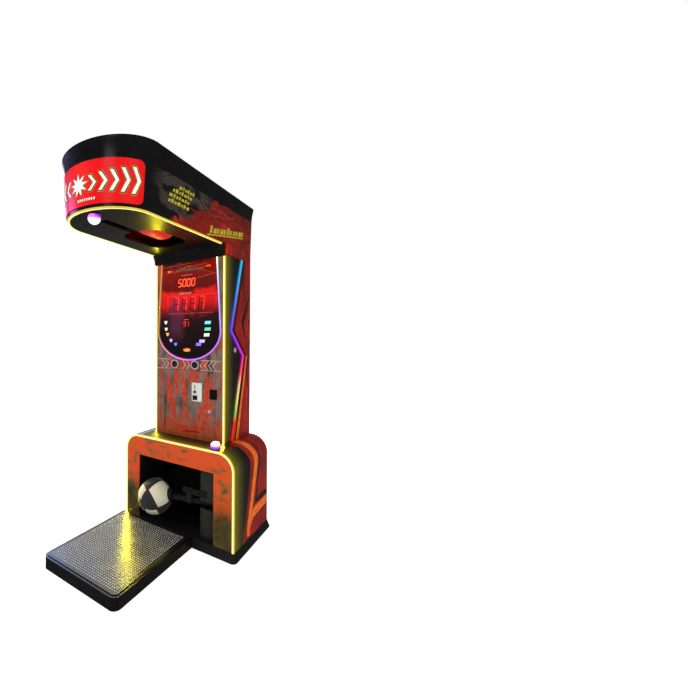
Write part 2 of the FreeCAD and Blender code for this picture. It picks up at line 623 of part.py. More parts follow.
def coin_cuts():
    y0 = COLUMN_FRONT - 10
    y1 = COLUMN_FRONT + 10
    x = COIN_SLOT[0]
    half = COIN_SLOT_WIDTH / 2
    slot = box(x - half, x + half, y0, y1, COIN_SLOT[1], COIN_SLOT[2])
    reject = rod(REJECT_RADIUS + SLIDE_GAP, (REJECT_X, y0, REJECT_Z), (REJECT_X, y1, REJECT_Z))
    pocket = box(POCKET_X[0], POCKET_X[1], y0, COLUMN_FRONT + POCKET_DEPTH, POCKET_Z[0], POCKET_Z[1])
    return slot, reject, pocket


def pocket_outer():
    return box(POCKET_X[0] - 2, POCKET_X[1] + 2, COLUMN_FRONT - 1, COLUMN_FRONT + POCKET_DEPTH + 2,
               POCKET_Z[0] - 2, POCKET_Z[1] + 2)


def make_coin_parts():
    slot, reject, pocket = coin_cuts()
    face = COLUMN_FRONT - COIN_PLATE
    plate = box(COIN_X[0], COIN_X[1], face, COLUMN_FRONT, COIN_Z[0], COIN_Z[1])
    cup = pocket_outer().common(box(0, 200, COLUMN_FRONT, COLUMN_FRONT + 100, 700, 900))
    plate = plate.fuse(cup).cut(slot).cut(reject).cut(pocket)
    save("coin_plate", plate)
    save("coin_reject_button", rod(REJECT_RADIUS, (REJECT_X, face - 6, REJECT_Z),
                                   (REJECT_X, COLUMN_FRONT + 8, REJECT_Z)))
    gap = 0.6
    flap_top = POCKET_Z[1] - gap
    roller_z = flap_top - 2.5
    flap_y = face + 3.5
    flap = box(POCKET_X[0] + gap, POCKET_X[1] - gap, flap_y - 1, flap_y + 1, POCKET_Z[0] + gap, roller_z)
    roll = rod(2.2, (POCKET_X[0] + gap, flap_y, roller_z), (POCKET_X[1] - gap, flap_y, roller_z))
    save("coin_return_flap", flap.fuse(roll))


# ---------------------------------------------------------------- rear door
def make_rear_door():
    y1 = BASE_DEPTH
    y0 = y1 - REAR_DOOR_SHEET
    half = COLUMN_IN - DOOR_GAP
    z0, z1 = BASE_TOP + 12, REAR_DOOR_TOP
    door = box(-half, half, y0, y1, z0, z1)
    for i in range(REAR_VENT_COUNT):
        z = REAR_VENT_START + VENT_PITCH * i
        door = door.cut(box(-90, 90, y0 - 1, y1 + 1, z, z + VENT_GAP))
    hinges = []
    length = REAR_HINGE_LENGTH
    for low in (z0 + length, (z0 + z1 - length) / 2, z1 - length - 10):
        high = low + length
        pin = rod(PIN_RADIUS, (REAR_HINGE_X, REAR_HINGE_Y, low), (REAR_HINGE_X, REAR_HINGE_Y, high))
        room = rod(REAR_KNUCKLE_RADIUS + TOUCH_GAP, (REAR_HINGE_X, REAR_HINGE_Y, low - 1),
                   (REAR_HINGE_X, REAR_HINGE_Y, high + 1))
        door = door.cut(room)
        for barrel in knuckles(REAR_HINGE_X, REAR_HINGE_Y, low, high, REAR_KNUCKLE_RADIUS, 3, 1):
            base = barrel.BoundBox
            web = box(REAR_HINGE_X - 14, REAR_HINGE_X, y1, y1 + 2, base.ZMin, base.ZMax)
            door = door.fuse(barrel).fuse(web)
        door = door.cut(rod(PIN_RADIUS + RUNNING_GAP, (REAR_HINGE_X, REAR_HINGE_Y, low - 1),
                            (REAR_HINGE_X, REAR_HINGE_Y, high + 1)))
        piece = pin
        for barrel in knuckles(REAR_HINGE_X, REAR_HINGE_Y, low, high, REAR_KNUCKLE_RADIUS, 3, 0):
            base = barrel.BoundBox
            leaf = box(REAR_HINGE_X, REAR_HINGE_X + 12, y1, y1 + 2, base.ZMin, base.ZMax)
            piece = piece.fuse(barrel).fuse(leaf)
        hinges.append(piece)
    lock_x, lock_z = -half + REAR_LOCK_INSET, (z0 + z1) / 2
    door = door.cut(rod(LOCK_RADIUS + RUNNING_GAP, (lock_x, y0 - 1, lock_z), (lock_x, y1 + 1, lock_z)))
    save("rear_door", door)
    save("rear_hinges", group(hinges))
    barrel = rod(LOCK_RADIUS, (lock_x, y0 - 14, lock_z), (lock_x, y1 + 4, lock_z))
    cam = box(lock_x - 7, lock_x + 7, y0 - 14, y0 - 11, lock_z, lock_z + 28)
    key_way = box(lock_x - 1, lock_x + 1, y1 + 1, y1 + 5, lock_z - 4, lock_z + 4)
    save("rear_lock", barrel.fuse(cam).cut(key_way))


# ---------------------------------------------------------------- head
def head_wire(rear_half, nose_half, nose_reach, z, inset=0.0, rear=BASE_DEPTH):
    """Level outline of the head: two tapering sides, a round nose and a flat rear."""
    a = nose_half - inset
    b = nose_reach - inset
    w = rear_half - inset
    y1 = rear - inset
    arc = Part.Arc(V(-1, 0, 0), V(0, -1, 0), V(1, 0, 0)).toShape()
    stretch = FreeCAD.Matrix()
    stretch.scale(V(a, b, 1))
    stretch.move(V(0, NOSE_START, z))
    nose = arc.transformGeometry(stretch)
    edges = [Part.LineSegment(V(-w, y1, z), V(-a, NOSE_START, z)).toShape(), nose,
             Part.LineSegment(V(a, NOSE_START, z), V(w, y1, z)).toShape(),
             Part.LineSegment(V(w, y1, z), V(-w, y1, z)).toShape()]
    return Part.Wire(edges)


def level(z, inset=0.0):
    """Outline of the head at a height: a straight wall up to the shoulder, then a hollow flare."""
    low = (SIDE_OUT, BOTTOM_NOSE_HALF, BOTTOM_NOSE_REACH)
    mid = (SHOULDER_REAR_HALF, SHOULDER_NOSE_HALF, SHOULDER_NOSE_REACH)
    high = (TOP_REAR_HALF, TOP_NOSE_HALF, TOP_NOSE_REACH)
    if z <= SHOULDER:
        t = (z - HEAD_BOTTOM) / (SHOULDER - HEAD_BOTTOM)
        sizes = [p + (q - p) * t for p, q in zip(low, mid)]
    else:
        t = ((z - SHOULDER) / (TOTAL_HEIGHT - SHOULDER)) ** 1.6
        sizes = [p + (q - p) * t for p, q in zip(mid, high)]
    return head_wire(sizes[0], sizes[1], sizes[2], z, inset)


def make_head():
    bottom = HEAD_BOTTOM + HEAD_STRIP_DEPTH
    outer = Part.makeLoft([level(bottom), level(SHOULDER)], True, True)
    inner = Part.makeLoft([level(bottom, HEAD_WALL), level(SHOULDER, HEAD_WALL)], True, True)
    save("head_wall", outer.cut(inner))
    steps = [SHOULDER + (TOTAL_HEIGHT - SHOULDER) * i / 5 for i in range(6)]
    cap = Part.makeLoft([level(z) for z in steps], True, True)
    roof = TOTAL_HEIGHT - CAP_WALL
    hollow = Part.makeLoft([level(SHOULDER, HEAD_WALL), level(roof, HEAD_WALL)], True, True)
    save("head_cap", cap.cut(hollow))
    make_underside()
    make_marquee()
    make_frame()


def make_underside():
    z0, z1 = HEAD_BOTTOM, HEAD_BOTTOM + UNDERSIDE_SHEET
    sheet = Part.Face(level(z0, HEAD_WALL + 0.5)).extrude(V(0, 0, UNDERSIDE_SHEET))
    sheet = sheet.common(box(-COLUMN_HALF, COLUMN_HALF, FRONT_REACH, COLUMN_FRONT, z0, z1))
    slot = rounded_plate(-SLOT_HALF, SLOT_HALF, SLOT_FRONT, SLOT_REAR, z0 - 1, z1 + 1, SLOT_CORNER)
    slit = box(-SLIT_HALF, SLIT_HALF, SLIT_FRONT, SLOT_FRONT + 20, z0 - 1, z1 + 1)
    save("head_underside", sheet.cut(slot).cut(slit))
    y1 = COLUMN_FRONT
    wedge = prism([(-COLUMN_HALF, y1, HEAD_BOTTOM), (-COLUMN_HALF, y1 - WEDGE_REACH, HEAD_BOTTOM),
                   (-COLUMN_HALF, y1 - 2, WEDGE_BOTTOM), (-COLUMN_HALF, y1, WEDGE_BOTTOM)],
                  (2 * COLUMN_HALF, 0, 0))
    save("head_wedge", wedge)
    top = HEAD_BOTTOM + HEAD_STRIP_DEPTH
    outer = Part.Face(level(HEAD_BOTTOM, 1)).extrude(V(0, 0, HEAD_STRIP_DEPTH))
    inner = Part.Face(level(HEAD_BOTTOM, 1 + HEAD_STRIP)).extrude(V(0, 0, HEAD_STRIP_DEPTH))
    front = box(-400, 400, FRONT_REACH - 10, y1 - WEDGE_REACH, HEAD_BOTTOM, top)
    save("led_head", outer.cut(inner).common(front))
    domes = []
    for (x, y), z, up in ((HEAD_DOME, HEAD_BOTTOM, -1), (BASE_DOME, BASE_TOP, 1)):
        band = rod(DOME_BAND, (x, y, z), (x, y, z + up * DOME_RISE))
        cap = Part.makeSphere(DOME_RADIUS, V(x, y, z + up * DOME_RISE))
        side = box(x - 40, x + 40, y - 40, y + 40, min(z, z + up * 60), max(z, z + up * 60))
        domes.append(band.fuse(cap.common(side)))
    save("dome_lights", group(domes))


def make_marquee():
    """Curved light-box lens wrapped round the nose, with rounded corners."""
    top = SHOULDER
    outer = Part.makeLoft([level(HEAD_BOTTOM, -MARQUEE_SHEET), level(top, -MARQUEE_SHEET)], True, True)
    inner = Part.makeLoft([level(HEAD_BOTTOM), level(top)], True, True)
    window = box(-400, 400, FRONT_REACH - 100, MARQUEE_END, MARQUEE_LOW, MARQUEE_HIGH)
    corners = [e for e in window.Edges
               if abs(e.Length - 800) < 1e-6 and abs(e.Vertexes[0].Y - MARQUEE_END) < 1e-6]
    window = window.makeFillet(MARQUEE_CORNER, corners)
    save("marquee_panel", outer.cut(inner).common(window))


def tube(x0, x1, y0, y1, z0, z1, along):
    """Square steel tube, open along one axis."""
    w = FRAME_TUBE_WALL
    grow = {"x": (1, 0, 0), "y": (0, 1, 0), "z": (0, 0, 1)}[along]
    cut = [w if g == 0 else -1 for g in grow]
    hollow = box(x0 + cut[0], x1 - cut[0], y0 + cut[1], y1 - cut[1], z0 + cut[2], z1 - cut[2])
    return box(x0, x1, y0, y1, z0, z1).cut(hollow)


def make_frame():
    """Welded frame: two posts up the column and two arms out over the bag."""
    half = FRAME_TUBE / 2
    rear = BASE_DEPTH - REAR_DOOR_SHEET - 20
    front = BAG_PIVOT_Y - 60
    low = FRAME_TOP - FRAME_TUBE
    parts = []
    for x in (-FRAME_X, FRAME_X):
        parts.append(tube(x - half, x + half, rear - FRAME_TUBE, rear, BASE_TOP, low, "z"))
        parts.append(tube(x - half, x + half, front, rear, low, FRAME_TOP, "y"))
    for y in (front, rear - FRAME_TUBE):
        parts.append(tube(-FRAME_X + half, FRAME_X - half, y, y + FRAME_TUBE, low, FRAME_TOP, "x"))
    frame = parts[0]
    for piece in parts[1:]:
        frame = frame.fuse(piece)
    save("steel_frame", frame)
    py, pz = BAG_PIVOT_Y, BAG_PIVOT_Z
    out = CHEEK_INNER + CHEEK
    deck = box(-FRAME_X - half, FRAME_X + half, py - 50, py + 50, low - CHEEK, low)
    bracket = deck
    for x in (-out, CHEEK_INNER):
        bracket = bracket.fuse(box(x, x + CHEEK, py - 36, py + 36, pz - 30, low - CHEEK))
    shaft = rod(SHAFT_RADIUS, (-out, py, pz), (out, py, pz))
    save("bag_bracket", bracket.cut(shaft))
    save("bag_shaft", shaft)
    hub = rod(SHAFT_RADIUS + HUB_WALL, (-CHEEK_INNER + SIDE_PLAY, py, pz), (CHEEK_INNER - SIDE_PLAY, py, pz))
    bar = box(-ARM_WIDTH / 2, ARM_WIDTH / 2, py, py + BAG_NECK + 8, pz - ARM_DEPTH / 2, pz + ARM_DEPTH / 2)
    bore = rod(SHAFT_RADIUS + RUNNING_GAP, (-out, py, pz), (out, py, pz))
    save("bag_arm", hub.fuse(bar).cut(bore))
    save("punch_bag", make_bag().cut(bar))
    top = low - CHEEK
    magnet = rod(22, (0, py + 130, pz + ARM_DEPTH / 2 + 1), (0, py + 130, top))
    save("holding_magnet", magnet.fuse(box(-FRAME_X - half, FRAME_X + half, py + 100, py + 160, top, low)))


def make_bag():
    """Pear-shaped bag lying back from the pivot: a narrow neck, a full body and a round end."""
    r = BAG_RADIUS
    start, end = BAG_NECK, BAG_REACH
    body = end - r
    py, pz = BAG_PIVOT_Y, BAG_PIVOT_Z
    shoulder = start + (body - start) * 0.55

    def p(along, off):
        return V(0, py + along, pz + off)
    edges = [
        Part.LineSegment(p(start, 0), p(start, r * 0.3)),
        Part.BezierCurve(),
        Part.LineSegment(p(shoulder, r), p(body, r)),
        Part.Arc(p(body, r), p(body + r * math.sqrt(0.5), r * math.sqrt(0.5)), p(end, 0)),
        Part.LineSegment(p(end, 0), p(start, 0)),
    ]
    edges[1].setPoles([p(start, r * 0.3), p(start + 14, r * 0.86), p(shoulder - 40, r), p(shoulder, r)])
    face = Part.Face(Part.Wire([e.toShape() for e in edges]))
    return face.revolve(V(0, py, pz), V(0, 1, 0), 360)


# ---------------------------------------------------------------- platform
def make_platform():
    x0, x1 = PLATFORM_LEFT, PLATFORM_RIGHT
    y0, y1 = PLATFORM_FRONT, -PLINTH_FLARE
    body = box(x0, x1, y0, y1, FLOOR_GAP, PLATFORM_HEIGHT)
    corners = [e for e in body.Edges if abs(e.Vertexes[0].Z - e.Vertexes[-1].Z) > 1e-6
               and abs(e.Vertexes[0].Y - y0) < 1e-6]
    body = body.makeFillet(PLATFORM_CORNER, corners)
    w = PLATFORM_WALL
    hollow = box(x0 + w, x1 - w, y0 + w, y1 - w, FLOOR_GAP - 1, PLATFORM_HEIGHT - 14)
    holes = platform_bolts(BOLT_RADIUS, 0)
    save("platform_frame", body.cut(hollow).cut(holes))
    b = PLATFORM_BORDER
    plate = box(x0 + b, x1 - b, y0 + b, y1 - 6, PLATFORM_HEIGHT, PLATFORM_HEIGHT + PLATE_SHEET)
    corners = [e for e in plate.Edges if abs(e.Vertexes[0].Z - e.Vertexes[-1].Z) > 1e-6
               and abs(e.Vertexes[0].Y - y0 - b) < 1e-6]
    save("platform_plate", plate.makeFillet(PLATFORM_CORNER - b, corners))
    save("platform_bolts", platform_bolts(BOLT_RADIUS, 6))


def platform_bolts(radius, head):
    """Two bolts that tie the platform's rear wall to the plinth; head is how far the ends grow."""
    y0 = -PLINTH_FLARE - PLATFORM_WALL
    y1 = PLINTH_WALL
    bolts = []
    for x in (PLATFORM_LEFT + 60, PLATFORM_RIGHT - 60):
        z = FLOOR_GAP + 20
        bolt = rod(radius, (x, y0 - 8, z), (x, y1 + 8, z))
        if head:
            bolt = bolt.fuse(rod(radius + head, (x, y0 - 8, z), (x, y0, z)))
            bolt = bolt.fuse(rod(radius + head / 2, (x, y1, z), (x, y1 + 8, z)))
        bolts.append(bolt)
    return group(bolts)


make_base()
make_bay()
make_side_panels()
make_column()
make_buttons()
make_service_door()
make_rear_door()
make_head()
make_platform()
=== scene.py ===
import math

import bmesh
import bpy
import numpy as np
from mathutils import Matrix, Vector


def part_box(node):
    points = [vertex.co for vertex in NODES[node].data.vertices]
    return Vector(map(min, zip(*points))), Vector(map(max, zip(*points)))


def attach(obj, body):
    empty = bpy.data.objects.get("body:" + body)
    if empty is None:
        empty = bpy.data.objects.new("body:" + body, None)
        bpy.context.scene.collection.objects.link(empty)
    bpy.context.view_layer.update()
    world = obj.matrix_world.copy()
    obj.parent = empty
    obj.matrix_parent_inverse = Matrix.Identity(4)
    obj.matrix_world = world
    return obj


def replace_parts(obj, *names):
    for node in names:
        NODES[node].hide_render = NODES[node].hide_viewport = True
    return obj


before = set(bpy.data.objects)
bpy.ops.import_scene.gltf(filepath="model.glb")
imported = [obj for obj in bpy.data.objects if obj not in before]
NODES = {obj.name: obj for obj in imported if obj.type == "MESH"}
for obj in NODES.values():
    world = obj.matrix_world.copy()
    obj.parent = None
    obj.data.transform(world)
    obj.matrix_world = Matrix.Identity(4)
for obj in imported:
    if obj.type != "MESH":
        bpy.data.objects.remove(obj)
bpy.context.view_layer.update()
MM = 0.001
SIDES = ((1, "right"), (-1, "left"))

# Faces that the printed pieces lie on, in metres. PANEL_Y is what the side panels' stepped edge is measured from.
COLUMN_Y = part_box("display_glass")[0].y
PANEL_Y = 0.109
COLUMN_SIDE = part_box("side_panel_right")[1].x
DOOR_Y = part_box("service_door")[1].y - 0.003
BASE_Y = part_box("led_base")[0].y
BASE_HALF, BASE_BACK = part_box("base_side_right")[1].xy
BASE_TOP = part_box("base_top_arch")[1].z
ARCH_RADIUS = 0.095
SPRING = BASE_TOP - ARCH_RADIUS
HEAD_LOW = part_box("led_head")[0].z
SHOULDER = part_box("head_cap")[0].z
HEAD_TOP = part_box("head_cap")[1].z
HEAD_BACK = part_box("head_cap")[1].y
NOSE_Y = -0.363
# Half width at the rear, half width where the nose begins, and the nose's length.
HEAD_AT_LOW = (0.2555, 0.222, 0.190)
HEAD_AT_SHOULDER = (0.262, 0.238, 0.195)
HEAD_AT_TOP = (0.2775, 0.268, 0.201)
BAG_PIVOT = Vector((0.0, -0.391, 1.751))
BALL_MIDDLE = (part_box("kicker_ball")[0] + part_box("kicker_ball")[1]) / 2
BALL_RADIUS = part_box("kicker_ball")[1].x - BALL_MIDDLE.x


# ---------------------------------------------------------------- materials
SOFT = {"interpolation_type": "SMOOTHSTEP"}
COLOUR = {"data_type": "RGBA", "out": 2}


def linear(code, alpha=1.0):
    """sRGB hex to linear RGBA."""
    shares = [int(code[i:i + 2], 16) / 255 for i in (1, 3, 5)]
    return [s / 12.92 if s <= 0.04045 else ((s + 0.055) / 1.055) ** 2.4 for s in shares] + [alpha]


def add(tree, kind, inputs=None, out=0, stops=(), **settings):
    """Adds a node and gives one of its outputs. An input is a value, a hex colour or the output that feeds it;
    stops are the (place, hex) pairs of a colour ramp."""
    made = tree.nodes.new("ShaderNode" + kind)
    for key, value in settings.items():
        setattr(made, key, value)
    for key, value in (inputs or {}).items():
        if isinstance(value, bpy.types.NodeSocket):
            tree.links.new(value, made.inputs[key])
        else:
            made.inputs[key].default_value = linear(value) if isinstance(value, str) else value
    for i, (place, code) in enumerate(stops):
        if i >= len(made.color_ramp.elements):
            made.color_ramp.elements.new(1.0)
        made.color_ramp.elements[i].position = place
        made.color_ramp.elements[i].color = linear(code)
    return made.outputs[out] if made.outputs else made


def grain(tree, where, size_mm, stretch=(1, 1, 1), detail=4.0, rough=0.55, twist=0.0):
    """Soft noise whose blotches are about size_mm across, longer where stretch is under 1."""
    spread = add(tree, "Mapping", {"Vector": where, "Scale": stretch})
    inputs = {"Vector": spread, "Scale": 1000 / size_mm, "Detail": detail, "Roughness": rough, "Distortion": twist}
    return add(tree, "TexNoise", inputs, "Fac")


def begin(name):
    """A new material, its node tree, its object coordinates and their X, Y and Z."""
    made = bpy.data.materials.new(name)
    made.use_nodes = True
    tree = made.node_tree
    tree.nodes.clear()
    where = add(tree, "TexCoord", out="Object")
    split = add(tree, "SeparateXYZ", {"Vector": where}).node
    return made, tree, where, split.outputs


def close(made, relief=None, **sockets):
    """Ends a material with its principled shader; relief is a height and how deep its bumps are, in mm."""
    tree = made.node_tree
    inputs = {key.replace("_", " "): value for key, value in sockets.items()}
    if relief:
        inputs["Normal"] = add(tree, "Bump", {"Height": relief[0], "Distance": relief[1] * MM, "Strength": 1.0})
    add(tree, "OutputMaterial", {"Surface": add(tree, "BsdfPrincipled", inputs)})
    return made


def plain(name, tones, gloss, size_mm, depth_mm, metallic=0.0, stretch=(1, 1, 1)):
    """A finish whose colour, gloss and surface all wander a little with the same grain."""
    made, tree, where, _ = begin(name)
    broad = grain(tree, where, size_mm * 12, detail=3.0)
    fine = grain(tree, where, size_mm, stretch)
    worn = add(tree, "Mix", {0: 0.5, 2: broad, 3: fine})
    tone = add(tree, "ValToRGB", {0: broad}, stops=((0.3, tones[0]), (0.7, tones[1])))
    rough = add(tree, "MapRange", {0: worn, 1: 0.3, 2: 0.7, 3: gloss[0], 4: gloss[1]}, **SOFT)
    return close(made, (fine, depth_mm), Base_Color=tone, Roughness=rough, Metallic=metallic)


def film(made, where, tone, roughness=0.24, coat=0.3, **sockets):
    """Ends a material as a printed film: gloss laminate over ink, with a faint orange peel."""
    peel = grain(made.node_tree, where, 9.0, detail=2.0)
    return close(made, (peel, 0.06), Base_Color=tone, Roughness=roughness, Coat_Weight=coat,
                 Coat_Roughness=0.08, **sockets)


def make_materials():
    """Every finish of the machine, by the name of the real material."""
    kit = {}
    # Moulded fibreglass with polished black gelcoat: deep black, near-mirror gloss, slight orange peel.
    kit["gelcoat"] = plain("black_gelcoat_fibreglass", ("#070707", "#0E0D0D"), (0.16, 0.30), 14, 0.03)
    # The same gelcoat where it was left unpolished, below the head: a broader, softer shine.
    kit["gelcoat_satin"] = plain("satin_black_gelcoat_fibreglass", ("#070707", "#0E0D0D"), (0.26, 0.36), 14,
                                 0.012)
    # Laminated board: gloss black film on particle board, a little waviness from the chips below.
    kit["board"] = plain("black_laminated_board", ("#080808", "#100F0F"), (0.16, 0.28), 6, 0.03)
    # Moulded ABS: fine spark-eroded texture that dulls the highlight.
    kit["abs"] = plain("textured_black_abs", ("#101011", "#1A1A1B"), (0.42, 0.58), 1.2, 0.05)
    # Powder-coated sheet steel inside the bay: charcoal with a soft broken sheen.
    kit["powder"] = plain("charcoal_powder_coat", ("#0F1010", "#181919"), (0.38, 0.52), 1.6, 0.06)
    # Stoved enamel on the covers, grey, and on the moving arms, darker: smooth with a slow waviness.
    kit["enamel_grey"] = plain("grey_stoved_enamel", ("#20221C", "#2C2F27"), (0.34, 0.46), 2.4, 0.05)
    kit["enamel_dark"] = plain("dark_stoved_enamel", ("#101112", "#18191A"), (0.30, 0.44), 2.4, 0.05)
    # Zinc plating: bluish bright metal with drifting dull areas.
    kit["zinc"] = plain("zinc_plated_steel", ("#8C9096", "#A8ABB0"), (0.28, 0.46), 3, 0.02, 1.0)
    # Turned bright steel shafts: fine rings round the bar.
    kit["steel"] = plain("turned_bright_steel", ("#A6A7AB", "#C2C3C7"), (0.16, 0.30), 0.8, 0.01, 1.0,
                         (1, 1, 0.2))
    # Chromed bezels and lock faces: bright, cool and nearly sharp.
    kit["chrome"] = plain("polished_chrome_plate", ("#C9CBD0", "#E2E4E8"), (0.10, 0.18), 6, 0.008, 0.55)
    # Vulcanised rubber feet, stop and switch rocker: dead matt with faint bloom.
    kit["rubber"] = plain("vulcanised_black_rubber", ("#121212", "#1E1E1D"), (0.66, 0.82), 1.5, 0.08)
    # Pale stoved enamel on the coin mechanism's face.
    kit["enamel_pale"] = plain("pale_stoved_enamel", ("#B9BDB0", "#CBCEC2"), (0.24, 0.36), 3, 0.02)
    # Galvanised power-supply case: large dull crystals.
    kit["galvanised"] = plain("galvanised_steel_case", ("#8A8D8F", "#A3A6A8"), (0.34, 0.5), 8, 0.02, 1.0)
    # Waxed polyester thread and binding: dark, matt, finely twisted.
    kit["thread"] = plain("waxed_polyester_thread", ("#191919", "#2A2A2A"), (0.5, 0.7), 0.6, 0.1)
    kit["tread"] = tread_plate("stainless_checker_plate", ("#48484A", "#5A5A5C"), (0.20, 0.30), 0.9)
    # The lozenges' tops: worn bright, and painted near white so that they stand out as glints do; part wear, part
    # painted highlight.
    kit["tread_worn"] = tread_plate("polished_checker_lozenges_painted_glint", ("#E0E0DE", "#F8F8F4"), (0.22, 0.34), 0.25)
    kit["side_art"] = side_print()
    kit["front_art"] = front_print()
    kit["column_art"] = column_print()
    kit["head_art"] = head_print()
    kit["display"] = display_print()
    # Screen printing inks: flat colour that breaks up a little at the scale of a squeegee's pull.
    for key, hue, other in (("orange_ink", "#D8560F", "#EE7A1E"), ("black_ink", "#0C0A08", "#181410"),
                            ("flame_ink", "#5C0E06", "#7E1608"), ("smoke_ink", "#4E4640", "#6A5E54"),
                            ("claw_ink", "#982410", "#BC3C18"), ("yellow_ink", "#948A1C", "#B8AC30"),
                            ("cream_ink", "#E9E2CE", "#F8F4E6"), ("pale_red_ink", "#A8504A", "#C87068"),
                            ("grey_ink", "#9A8F84", "#B8ADA2")):
        made, tree, where, _ = begin("screen_printed_" + key)
        squeegee = grain(tree, where, 22, detail=5.0)
        kit[key] = film(made, where, add(tree, "ValToRGB", {0: squeegee}, stops=((0.35, hue), (0.65, other))))
    # Black with painted light: the warm tubes' olive glow painted along the lit front edges of the base sides and
    # the column.
    kit["side_black_painted_glow"] = black_with_painted_glow("black_ink_with_painted_glow_base", 0.112, 0.305)
    kit["column_black_painted_glow"] = black_with_painted_glow("black_ink_with_painted_glow_column", 0.246, 0.400)
    # The top of the base: black laminate with the tubes' olive glow painted along its lit edges.
    kit["arch_black_painted_glow"] = arch_with_painted_glow()
    # Silicone diffuser over a row of LEDs: it gives its own colour and hardly any of the room's light.
    kit["warm_core"] = lamp("warm_silicone_led_core", "#FFEE8A", "#FFF3A6", 1.5, 34, "#272727")
    kit["warm_flank"] = lamp("warm_silicone_led_flank", "#F0DC34", "#F6E650", 0.82, 34, "#272727")
    kit["zigzag_core"] = zigzag_tube("colour_silicone_side_core", 1.7)
    kit["zigzag_flank"] = zigzag_tube("colour_silicone_side_flank", 0.8)
    kit["display_core"] = display_tube("colour_silicone_display_core", 1.35)
    kit["display_flank"] = display_tube("colour_silicone_display_flank", 0.5)
    kit["dome"] = dome_lens()
    # Back-lit acrylic with a translucent red film: an even, pure red.
    kit["marquee"] = lamp("translucent_red_acrylic", "#BE0004", "#D20206", 0.32, 120, None, 0.3, 0.15)
    kit["score_red"] = lamp("red_led_segment", "#FF2A12", "#FF5A28", 2.2)
    kit["big_red"] = lamp("dim_red_led_segment", "#E0140E", "#F0261C", 1.0)
    kit["unlit"] = lamp("unlit_led_segment", "#3A0808", "#4A0C0A", 0.12)
    kit["lens"] = {hue: lamp("backlit_acrylic_" + hue[1:], hue, hue, 0.9) for _, _, _, hue in MARKERS}
    kit["leather"] = leatherette("red_grained_leatherette", "#CC0C08", "#E4160E", 1.8)
    kit["ball_white"] = leatherette("cream_ball_leather", "#D9D2BC", "#EAE4D0", 1.1)
    kit["ball_dark"] = leatherette("charcoal_ball_leather", "#26282A", "#34373A", 1.1)
    return kit


ZIGZAG_HUES = ((0.0, "#E01010"), (0.10, "#F02818"), (0.15, "#60E060"), (0.21, "#F0E070"), (0.30, "#F8D0A0"),
               (0.36, "#FF4A5A"), (0.44, "#F020B0"), (0.52, "#B020F0"), (0.60, "#6A30FF"), (0.72, "#2A70FF"),
               (0.88, "#20B0F8"), (1.0, "#18C4F4"))
# Five shields on the left, five plates on the right and a crown, along the display's curve. Each is x, z, half
# its width and its hue.
MARKERS = ((-0.164, 1.231, 0.0105, "#D8D8D0"), (-0.161, 1.190, 0.0105, "#B8D8B8"),
           (-0.150, 1.158, 0.0105, "#F09048"),
           (-0.124, 1.121, 0.0105, "#B088E8"), (-0.089, 1.098, 0.0105, "#6060E8"),
           (0.134, 1.225, 0.0190, "#58B8E0"), (0.133, 1.188, 0.0190, "#40C088"),
           (0.127, 1.155, 0.0170, "#D8D0C0"),
           (0.096, 1.119, 0.0170, "#A890F0"), (0.073, 1.100, 0.0170, "#6858E0"),
           (-0.008, 1.067, 0.0260, "#E07828"))


def tread_plate(name, tones, gloss, metallic):
    """Stainless checker plate: brushed along the rolling direction, scuffed where feet stand."""
    made, tree, where, _ = begin(name)
    brush = grain(tree, where, 2.0, (1.0, 0.04, 1.0))
    scuff = grain(tree, where, 90, detail=6.0)
    tone = add(tree, "Mix", {0: scuff, 6: tones[0], 7: tones[1]}, **COLOUR)
    rough = add(tree, "MapRange", {0: scuff, 1: 0.3, 2: 0.7, 3: gloss[0], 4: gloss[1]}, **SOFT)
    return close(made, (brush, 0.01), Base_Color=tone, Roughness=rough, Metallic=metallic)


def side_print():
    """Printed vinyl on the side boards: deep red ink with smoky darker clouds."""
    made, tree, where, _ = begin("printed_red_vinyl")
    smoke = grain(tree, where, 190, (1.0, 1.6, 0.7), 6.0, 0.62, 0.6)
    streak = grain(tree, where, 60, (1.0, 3.0, 0.35), 5.0, twist=0.8)
    tone = add(tree, "ValToRGB", {0: smoke}, stops=((0.30, "#3C0A05"), (0.44, "#761208"), (0.58, "#94180A"),
                                                    (0.72, "#A8240E")))
    dark = add(tree, "MapRange", {0: streak, 1: 0.60, 2: 0.74, 4: 0.7}, **SOFT)
    return film(made, where, add(tree, "Mix", {0: dark, 6: tone, 7: "#2A0A06"}, **COLOUR))


def black_with_painted_glow(name, lit, unlit):
    """Black ink on the side boards, with painted light: the warm tubes' olive glow painted along the lit front
    edge, fading out towards unlit.
    """
    made, tree, where, place = begin(name)
    glow = add(tree, "MapRange", {0: place["Y"], 1: lit, 2: unlit, 3: 1.0, 4: 0.0})
    return film(made, where, add(tree, "ValToRGB", {0: glow}, stops=(
        (0.0, "#060502"), (0.35, "#17140A"), (0.65, "#433D08"), (0.9, "#6A6008"), (1.0, "#8E8410"))))


def arch_with_painted_glow():
    """Black laminate on top of the base with painted light: the olive glow of its lit edges painted into the
    colour, brownish between them.
    """
    made, tree, where, place = begin("black_laminate_with_painted_glow_arch")
    front = add(tree, "MapRange", {0: place["Y"], 1: 0.112, 2: 0.190, 3: 1.0, 4: 0.30})
    rear = add(tree, "MapRange", {0: place["Y"], 1: 0.30, 2: 0.36, 3: 1.0, 4: 0.0}, **SOFT)
    glow = add(tree, "Math", {0: front, 1: rear}, operation="MULTIPLY")
    tone = add(tree, "ValToRGB", {0: glow}, stops=(
        (0.0, "#0A0604"), (0.28, "#33200A"), (0.55, "#54400A"), (0.8, "#6E5C0A"), (1.0, "#94841A")))
    return film(made, where, tone, 0.5, 0.0, Specular_IOR_Level=0.25)


